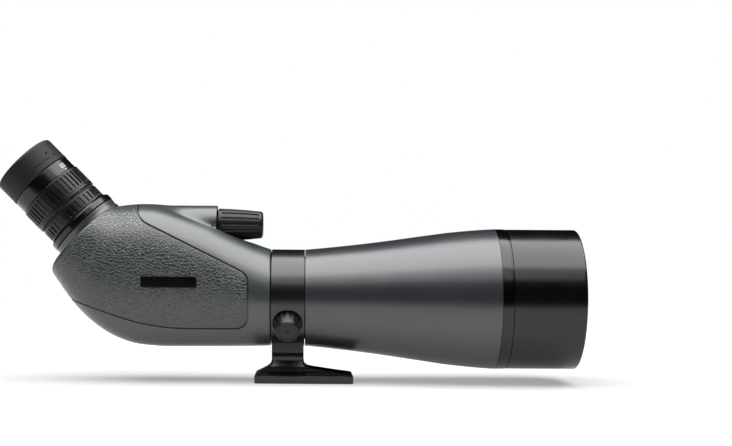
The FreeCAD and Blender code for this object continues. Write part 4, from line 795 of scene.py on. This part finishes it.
# %% Flange, lock ring and zoom ring
PORT_FACE = -30.0
FLANGE_TOP = PORT_FACE + 10.5
LOCK_RING_TOP = PORT_FACE + 20.0
BASE_TOP = PORT_FACE + 21.7
ZOOM_TOP = PORT_FACE + 38.5
SCALE_TOP = PORT_FACE + 47.9
CUP_TOP = PORT_FACE + 65.9
FLANGE_R, FLANGE_BORE_R = 26.1, 21.35
LOCK_RING_R, LOCK_RING_BORE_R = 23.8, 22.05
ZOOM_R, ZOOM_BORE_R, ZOOM_GROOVE_R = 24.2, 22.35, 23.85

flange_outline = rounded([
    (FLANGE_BORE_R, FLANGE_TOP - 5.75, 0), (FLANGE_R - 0.9, FLANGE_TOP - 5.75, 0.2),
    (FLANGE_R, FLANGE_TOP - 4.9, 0.2), (FLANGE_R, FLANGE_TOP - 1.4, 0.35),
    (FLANGE_R - 1.4, FLANGE_TOP, 0.35), (FLANGE_BORE_R, FLANGE_TOP, 0.2)], step=0.8)
lathe("flange_skin", EYE, flange_outline, flange_black, "scope", around=240,
      instead=["port_flange"], slot="gloss_black")

lock_outline = rounded([
    (LOCK_RING_BORE_R, FLANGE_TOP + 0.2, 0), (LOCK_RING_R, FLANGE_TOP + 0.2, 0.4),
    (LOCK_RING_R, LOCK_RING_TOP, 0.4), (LOCK_RING_BORE_R, LOCK_RING_TOP, 0)], step=0.25)
lathe("lock_ring_skin", EYE, lock_outline, grip_rubber, "eyepiece_lock", around=576,
      relief=slots(36, FLANGE_TOP + 1.4, LOCK_RING_TOP - 1.2, 0.95, 0.8, outside=23.0),
      instead=["eyepiece_lock_ring"], slot="grip_rubber")

zoom_outline = rounded([
    (ZOOM_BORE_R, BASE_TOP + 0.2, 0), (ZOOM_R, BASE_TOP + 0.2, 0.5), (ZOOM_R, BASE_TOP + 1.9, 0.1),
    (ZOOM_GROOVE_R, BASE_TOP + 2.0, 0.1), (ZOOM_GROOVE_R, BASE_TOP + 2.35, 0.1),
    (ZOOM_R, BASE_TOP + 2.45, 0.1), (ZOOM_R, ZOOM_TOP, 0.5), (ZOOM_BORE_R, ZOOM_TOP, 0)], step=0.25)
lathe("zoom_grip_skin", EYE, zoom_outline, grip_rubber, "zoom_ring", around=588,
      relief=slots(42, BASE_TOP + 3.2, ZOOM_TOP - 1.6, 0.95, 0.9, outside=23.9),
      instead=["zoom_grip"], slot="grip_rubber")

# %% Scale ring
SCALE_R = 23.4
scale_outline = rounded([
    (20.5, ZOOM_TOP + 0.2, 0), (SCALE_R, ZOOM_TOP + 0.2, 0.3), (SCALE_R, SCALE_TOP, 0.35),
    (20.5, SCALE_TOP, 0)], step=1.0)
lathe("scale_ring_skin", EYE, scale_outline, flange_black, "scope", around=240,
      instead=["scale_ring"], slot="gloss_black")

# %% [markdown]
# The scale is white paint: a tick and a figure for each zoom power. Each stroke of a figure is a thin
# curved patch that lies on the ring, so a figure is a handful of rectangles wrapped round it.

# %% Zoom scale
STROKES = {"a": (0, 2, 2, 2), "b": (2, 1, 2, 2), "c": (2, 0, 2, 1), "d": (0, 0, 2, 0),
           "e": (0, 0, 0, 1), "f": (0, 1, 0, 2), "g": (0, 1, 2, 1)}
FIGURES = {"0": "abcdef", "2": "abged", "3": "abgcd", "4": "fgbc", "5": "afgcd", "6": "afgedc"}
POWERS = ("20", "30", "40", "50", "60")
SCALE_FROM = -0.62              # turn of the first tick, just past the top on the camera's side
POWER_STEP = math.radians(150) / 4
ACROSS_POINTS, ALONG_POINTS = 5, 2


def patches(boxes, radius):
    """White patches on the ring. Each box is (across from, across to, along from, along to) in mm."""
    boxes = np.array(boxes)
    across = np.linspace(boxes[:, 0], boxes[:, 1], ACROSS_POINTS)
    along = np.linspace(boxes[:, 2], boxes[:, 3], ALONG_POINTS)
    grid = np.broadcast_arrays(across[:, None], along[None])
    points = carry_round(EYE, np.full(grid[0].shape, radius), grid[1], grid[0] / radius)
    points = points.transpose(2, 0, 1, 3)
    faces = grid_faces(ACROSS_POINTS, ALONG_POINTS, False, False)
    patch_points = ACROSS_POINTS * ALONG_POINTS
    return points, np.concatenate([faces + patch_points * k for k in range(len(boxes))])


def scale_boxes():
    """Strokes of every figure and a tick beside it, spaced as the zoom ring turns."""
    found = []
    for order, power in enumerate(POWERS):
        start = (SCALE_FROM + order * POWER_STEP) * SCALE_R
        found.append((start - 0.2, start + 0.2, ZOOM_TOP + 0.8, ZOOM_TOP + 2.4))
        for place, figure in enumerate(power):
            left = start + (place - 1) * 2.3 + 0.3
            for stroke in FIGURES[figure]:
                x0, y0, x1, y1 = STROKES[stroke]
                found.append((left + 0.8 * x0 - 0.14, left + 0.8 * x1 + 0.14,
                              ZOOM_TOP + 3.2 + 1.3 * y0 - 0.14, ZOOM_TOP + 3.2 + 1.3 * y1 + 0.14))
    return found


points, faces = patches(scale_boxes(), SCALE_R + 0.03)
finish_mesh("zoom_scale_ink", points, faces, white_ink, "scope")

# %% Eyecup
CUP_R = 23.5
CUP_BORE_R = 22.3
DIMPLE_AT = 2 * math.pi - 0.75


def cup_outline():
    """Lip, straight side, rolled rim, and the inside down to the sleeve."""
    low = SCALE_TOP + 0.3
    return rounded([
        (CUP_BORE_R, low, 0), (CUP_R + 0.2, low, 0.35), (CUP_R + 0.2, low + 1.7, 0.3),
        (CUP_R, low + 2.1, 0.3),
        (CUP_R, CUP_TOP, 1.9), (CUP_R - 4.5, CUP_TOP - 0.15, 2.5), (17.0, CUP_TOP - 1.0, 0.5),
        (17.0, CUP_TOP - 2.4, 0.4), (CUP_BORE_R - 2.0, CUP_TOP - 2.6, 0.6),
        (CUP_BORE_R - 2.0, CUP_TOP - 3.2, 0), (CUP_BORE_R, CUP_TOP - 4.0, 0)], step=0.5)


def cup_marks(turn, along, radius):
    """A dimple on the side and a row of short dashes round the foot of the cup."""
    round_from = (turn - DIMPLE_AT) * radius
    dimple = np.clip(1 - (round_from ** 2 + (along - SCALE_TOP - 8.3) ** 2) / 1.2, 0, 1)
    dash = (np.abs((turn % (np.pi / 9)) - np.pi / 18) < 0.11) & (np.abs(along - SCALE_TOP - 4.6) < 0.3)
    return np.where(radius > CUP_R - 0.05, -0.7 * np.sqrt(dimple) - 0.3 * dash, 0.0)


lathe("cup_skin", EYE, cup_outline(), cup_rubber, "eyecup", around=480, relief=cup_marks,
      instead=["eyecup"], slot="soft_rubber")

# %% [markdown]
# ## Housing
# The cast housing grows from the collar's circle to the tilted port. Its section at each station is a
# superellipse, which is an ellipse with squarer shoulders, and six numbers say where it is. Smooth
# curves through those numbers give the skin. The focus drive's hump joins it through a smooth maximum
# with a circle, and the pocket that clears the knob is a smooth minimum with another circle.

# %% Sections of the skin
# top x, top height, bottom x, bottom height, half width and squareness; heights are above the axis
SECTIONS = np.array([
    (-23.2, 33.4, -23.2, -33.4, 33.4, 2.00), (-33.0, 36.7, -33.0, -33.7, 33.7, 2.05),
    (-49.0, 43.4, -49.0, -33.9, 34.8, 2.15), (-66.0, 51.6, -66.0, -34.0, 36.3, 2.30),
    (-83.0, 57.7, -83.0, -34.1, 37.6, 2.42), (-100.0, 62.8, -101.0, -33.9, 38.2, 2.48),
    (-112.0, 63.8, -120.0, -31.3, 38.0, 2.48), (-121.0, 63.3, -139.0, -22.6, 36.6, 2.42),
    (-127.6, 62.8, -157.2, -6.8, 34.2, 2.32), (-132.5, 62.7, -176.2, 19.0, 31.8, 2.20)])
STATIONS = -(SECTIONS[:, 0] + SECTIONS[:, 2]) / 2
FIRST, LAST = STATIONS[0], STATIONS[-1]
HUMP_AT, HUMP_END = 60.8, 113.0
HUMP_R, HUMP_FLARE = 13.2, 20.0
HUMP_TOP = 63.5
FOCUS_UP = HUMP_TOP - HUMP_R
POCKET_R = 12.4
COMBING = 0.6   # how far the low columns are combed upwards, so that each meets the seam only once


def section_values(at):
    """The six numbers at a station, read from smooth curves through the table."""
    steps = np.diff(SECTIONS, axis=0) / np.diff(STATIONS)[:, None]
    return [smooth_curve(STATIONS, column, at, (first, last))
            for column, first, last in zip(SECTIONS.T, steps[0], steps[-1])]


def smooth_max(a, b, reach):
    """The larger of a and b, rounded where they differ by less than the reach."""
    share = np.clip(0.5 + 0.5 * (a - b) / reach, 0, 1)
    return b + (a - b) * share + reach * share * (1 - share)


def circle_reach(distance, radius, turn, far):
    """How far a ray from the section's middle goes before it leaves (far=1) or meets (far=-1) a circle
    centred straight above it. Rays that miss get a value that falls (or rises) steeply."""
    aside = distance * np.abs(np.sin(turn))
    half_chord = np.sqrt(np.maximum(radius ** 2 - aside ** 2, 0))
    ahead = distance * np.cos(turn) + far * (half_chord - 6 * np.maximum(aside - radius, 0))
    return np.where(np.cos(turn) > 0.2, ahead, -far * 200.0)


def housing_skin(at, turn, drop=0.0):
    """Points of the skin in metres. turn goes round from straight up and drop sinks the point."""
    top_x, top_up, low_x, low_up, half, power = section_values(at)
    lean, rise = (top_x - low_x) / 2, (top_up - low_up) / 2
    half_up = np.hypot(lean, rise)
    comb = np.clip((at - 70) / 55, 0, 1)
    turn = turn - COMBING * np.sin(turn) * (1 - np.cos(turn)) / 2 * comb * comb * (3 - 2 * comb)
    side, up = np.sin(turn), np.cos(turn)
    radius = ((np.abs(side) / half) ** power + (np.abs(up) / half_up) ** power) ** (-1 / power)
    middle_up = (top_up + low_up) / 2
    share = np.clip((at - HUMP_AT) / (HUMP_END - HUMP_AT), 0, 1.2)
    flare = HUMP_R + (HUMP_FLARE - HUMP_R) * share
    hump = circle_reach(HUMP_TOP - flare - middle_up, flare, turn, 1)
    pocket = circle_reach(FOCUS_UP - middle_up, POCKET_R, turn, -1)
    with_hump = smooth_max(radius, hump, 3.0)
    with_pocket = -smooth_max(-radius, -pocket, 1.0)
    radius = np.where(at > HUMP_AT, with_hump, with_pocket) - drop
    x = (top_x + low_x) / 2 + radius * up * lean / half_up
    z = middle_up + radius * up * rise / half_up
    return np.stack([x * MM, radius * side * MM, z * MM + AXIS_Z], axis=-1)


# %% [markdown]
# ## Where the rubber armour ends
# The armour's outline, seen from the side, is made of five straight lines with rounded corners. Each
# line gives a distance, and the distances are combined with smooth minima and maxima. On every
# column of the skin one station is found where that combined distance has a wanted value, so both
# the casting and the rubber get an edge that follows the outline exactly.

# %% Armour outline
ARMOUR_CORNER = (-38.0, 16.1)   # where the front edge meets the slanting one
ARMOUR_FLOOR = -20.7
CORNER_R = 8.0
FLOOR_BLEND, ROOF_BLEND, CORNER_BLEND = 7.3, 6.9, 5.7


def past_line(x, up, start, across):
    """Signed distance past a line through start, measured along the direction across."""
    across = np.array(across) / np.hypot(*across)
    return (x - start[0]) * across[0] + (up - start[1]) * across[1]


def armour_inside(x, up):
    """Distance inside the armour's outline in mm, for a point seen from the side."""
    front = past_line(x, up, ARMOUR_CORNER, (-1.0, 0.0))
    floor = past_line(x, up, (0.0, ARMOUR_FLOOR), (0.0, 1.0))
    rising = past_line(x, up, (-100.0, -20.8), (36.8, 115.0))
    slant = past_line(x, up, ARMOUR_CORNER, (-37.3, -75.2))
    upright = past_line(x, up, (-113.2, 53.4), (-36.6, -3.6))
    low = -smooth_max(-floor, -rising, FLOOR_BLEND)
    roof = smooth_max(slant, upright, ROOF_BLEND)
    bottom = np.maximum(CORNER_R, np.minimum(front, low)) - np.hypot(
        np.maximum(CORNER_R - front, 0), np.maximum(CORNER_R - low, 0))
    return -smooth_max(-bottom, -roof, CORNER_BLEND)


def seam_station(turn, wanted):
    """Station on each column where the distance inside the outline has the wanted value, by halving."""
    low, high = np.full(turn.shape, FIRST), np.full(turn.shape, LAST)
    for _ in range(32):
        middle = (low + high) / 2
        points = housing_skin(middle, turn)
        inside = armour_inside(points[..., 0] / MM, (points[..., 2] - AXIS_Z) / MM) > wanted
        high = np.where(inside, middle, high)
        low = np.where(inside, low, middle)
    return (low + high) / 2


def column_turns(count):
    """Turns of the columns: evenly spread along the seam's length and the section's girth together."""
    fine = np.linspace(0, np.pi, 3000)
    seam = housing_skin(seam_station(fine, 0.0), fine) / MM
    pace = np.concatenate([[0], np.linalg.norm(np.diff(seam, axis=0), axis=1)])
    measure = np.cumsum(np.minimum(pace, 0.6)) + 55 * fine
    half = np.interp(np.linspace(0, measure[-1], count), measure, fine)
    return np.concatenate([half, -half[-2:0:-1]])


turns = column_turns(230)
levels = np.concatenate([np.arange(FIRST, HUMP_AT - 0.5, 1.15), [HUMP_AT - 1e-4, HUMP_AT + 1e-4],
                         np.arange(HUMP_AT + 1.1, LAST - 0.4, 1.15), [LAST]])
print("columns", len(turns), "levels", len(levels))

# %% Casting
CASTING_WALL = 3.0


def rows_of(stations, drop):
    """Skin rows for stations of shape (rows, columns) or (rows,) at one drop."""
    rows = len(stations)
    stations = np.broadcast_to(np.asarray(stations, float).reshape(rows, -1), (rows, len(turns)))
    return housing_skin(stations, np.broadcast_to(turns, stations.shape), drop)


def casting_points():
    """Outside up to the seam, down into it, on under the rubber, and back along the inner wall."""
    edge, lip, seam = (seam_station(turns, wanted) for wanted in (-0.8, -0.5, -0.35))
    rows = [rows_of([FIRST], 0.3), rows_of([FIRST + 0.1], 0.1),
            rows_of(np.minimum(levels[1:, None], edge), 0.0),
            rows_of(lip[None], 0.06), rows_of(seam[None], 0.3), rows_of(seam[None], 1.3),
            rows_of(np.maximum(levels[::3, None], seam), 1.35),
            rows_of(np.minimum(levels[::-6], LAST - 2.0), CASTING_WALL), rows_of([FIRST], CASTING_WALL)]
    return np.concatenate(rows)


points = casting_points()
faces = grid_faces(points.shape[0], points.shape[1], True, True)
finish_mesh("housing_casting", points, faces, body_paint, "scope", sharp_degrees=50,
            instead=["prism_housing"], slot="body_green")

# %% [markdown]
# ## Rubber armour
# The rubber starts at the seam with a rolled edge, runs to the rear, turns over the rear edge and
# covers the port plane up to the neck. It is a shell a little over a millimetre thick.

# %% Armour
PORT_CENTRE = EYE[0] + PORT_FACE * MM * EYE[1]
NECK_AT = 26.0
ARMOUR_THICK = 1.2
REAR_ROUND = 5.5   # length of the rounded rear edge, which is longest at the bottom
TURN_ROWS = 9


def armour_points():
    """Rolled edge at the seam, outside, rounded rear edge, port plane, and the underside back."""
    seam, lip, edge = (seam_station(turns, wanted) for wanted in (0.3, 0.45, 0.85))
    outside = [rows_of(seam[None], ARMOUR_THICK), rows_of(seam[None], 0.4), rows_of(lip[None], 0.08)]
    body = levels[levels < LAST - REAR_ROUND - 1.0]
    outside.append(rows_of(np.maximum(body[:, None], edge), 0.0))
    rim = housing_skin(np.full(turns.shape, LAST), turns)
    before = housing_skin(np.full(turns.shape, LAST - 3.0), turns)
    onwards = rim - before
    onwards /= np.linalg.norm(onwards, axis=1)[:, None]
    inwards = PORT_CENTRE - rim
    distance = np.linalg.norm(inwards, axis=1)[:, None]
    inwards /= distance
    low = np.clip(-np.cos(turns), 0, 1)[:, None]
    reach = (2.2 + 5.3 * low ** 3) * MM
    start, end = rim - onwards * np.minimum(reach, REAR_ROUND * MM), rim + inwards * reach
    share = np.linspace(0, 1, TURN_ROWS)[:, None, None]
    turn_over = (1 - share) ** 2 * start + 2 * share * (1 - share) * rim + share ** 2 * end
    outside.append(turn_over)
    stop = rim + inwards * (distance - NECK_AT * MM)
    outside.append(end + (stop - end) * share[1:])
    depth = -ARMOUR_THICK * MM * EYE[1]
    outside.append(np.stack([stop + depth, end + depth + inwards * 0.4 * MM]))
    outside.append(rows_of(np.maximum(body[::-4, None], edge), ARMOUR_THICK))
    return np.concatenate(outside)


points = armour_points()
faces = grid_faces(points.shape[0], points.shape[1], True, True)
finish_mesh("armour_rubber", points, faces, armour_rubber, "scope", sharp_degrees=60,
            instead=["rear_armour"], slot="armour")

# %% Neck under the flange
PORT_NECK_R, PORT_BORE_R = 25.5, 21.3
neck_outline = rounded([
    (PORT_BORE_R, PORT_FACE - 3.0, 0), (PORT_NECK_R, PORT_FACE - 3.0, 0), (PORT_NECK_R, PORT_FACE + 2.2, 1.5),
    (PORT_NECK_R + 0.3, PORT_FACE + 4.4, 0.2), (PORT_NECK_R + 0.3, PORT_FACE + 4.7, 0),
    (PORT_BORE_R, PORT_FACE + 4.7, 0)], step=0.8)
lathe("port_neck", EYE, neck_outline, body_paint, "scope", around=200)

# %% Badges
BADGE_X, BADGE_UP = -90.7, 10.9
BADGE_HALF = (18.5, 3.75)
BADGE_BEVEL, BADGE_LIFT = 0.35, 0.42


def badge_points(side):
    """Rings of a rounded rectangle that shrink to the middle, laid on the skin of one side."""
    grow = np.array([0, 0, 0, -0.12, -BADGE_BEVEL])
    lift = np.array([-0.6, 0.1, 0.28, 0.38, BADGE_LIFT])
    shrink = np.linspace(1, 0, 8)[1:]
    top_x, top_z = (half - BADGE_BEVEL for half in BADGE_HALF)
    half_x = np.concatenate([BADGE_HALF[0] + grow, top_x * shrink + 0.1 * (1 - shrink)])
    half_z = np.concatenate([BADGE_HALF[1] + grow, top_z * shrink])
    corner = np.concatenate([np.ones(len(grow)), 0.9 * shrink])
    x, z = rounded_rectangle(-half_x, half_x, half_z, corner, side_points=24)
    lift = np.concatenate([lift, np.full(len(shrink), BADGE_LIFT)])[:, None]
    x, z = x + BADGE_X, z + BADGE_UP
    _, top_up, _, low_up, half, power = section_values(-x)
    away = np.abs(z - (top_up + low_up) / 2) / ((top_up - low_up) / 2)
    y = half * (1 - away ** power) ** (1 / power) + lift
    return np.stack([x * MM, side * y * MM, z * MM + AXIS_Z], axis=-1)


for side, word in ((-1, "right"), (1, "left")):
    points = badge_points(side)
    rear = points[:1].mean(axis=1, keepdims=True)
    points = np.concatenate([np.repeat(rear, points.shape[1], axis=1), points])
    faces = grid_faces(points.shape[0], points.shape[1], False, True)
    finish_mesh(f"badge_{word}", points, faces, badge_black, "scope", sharp_degrees=30,
                instead=["badges"] if side < 0 else [], slot="badge")
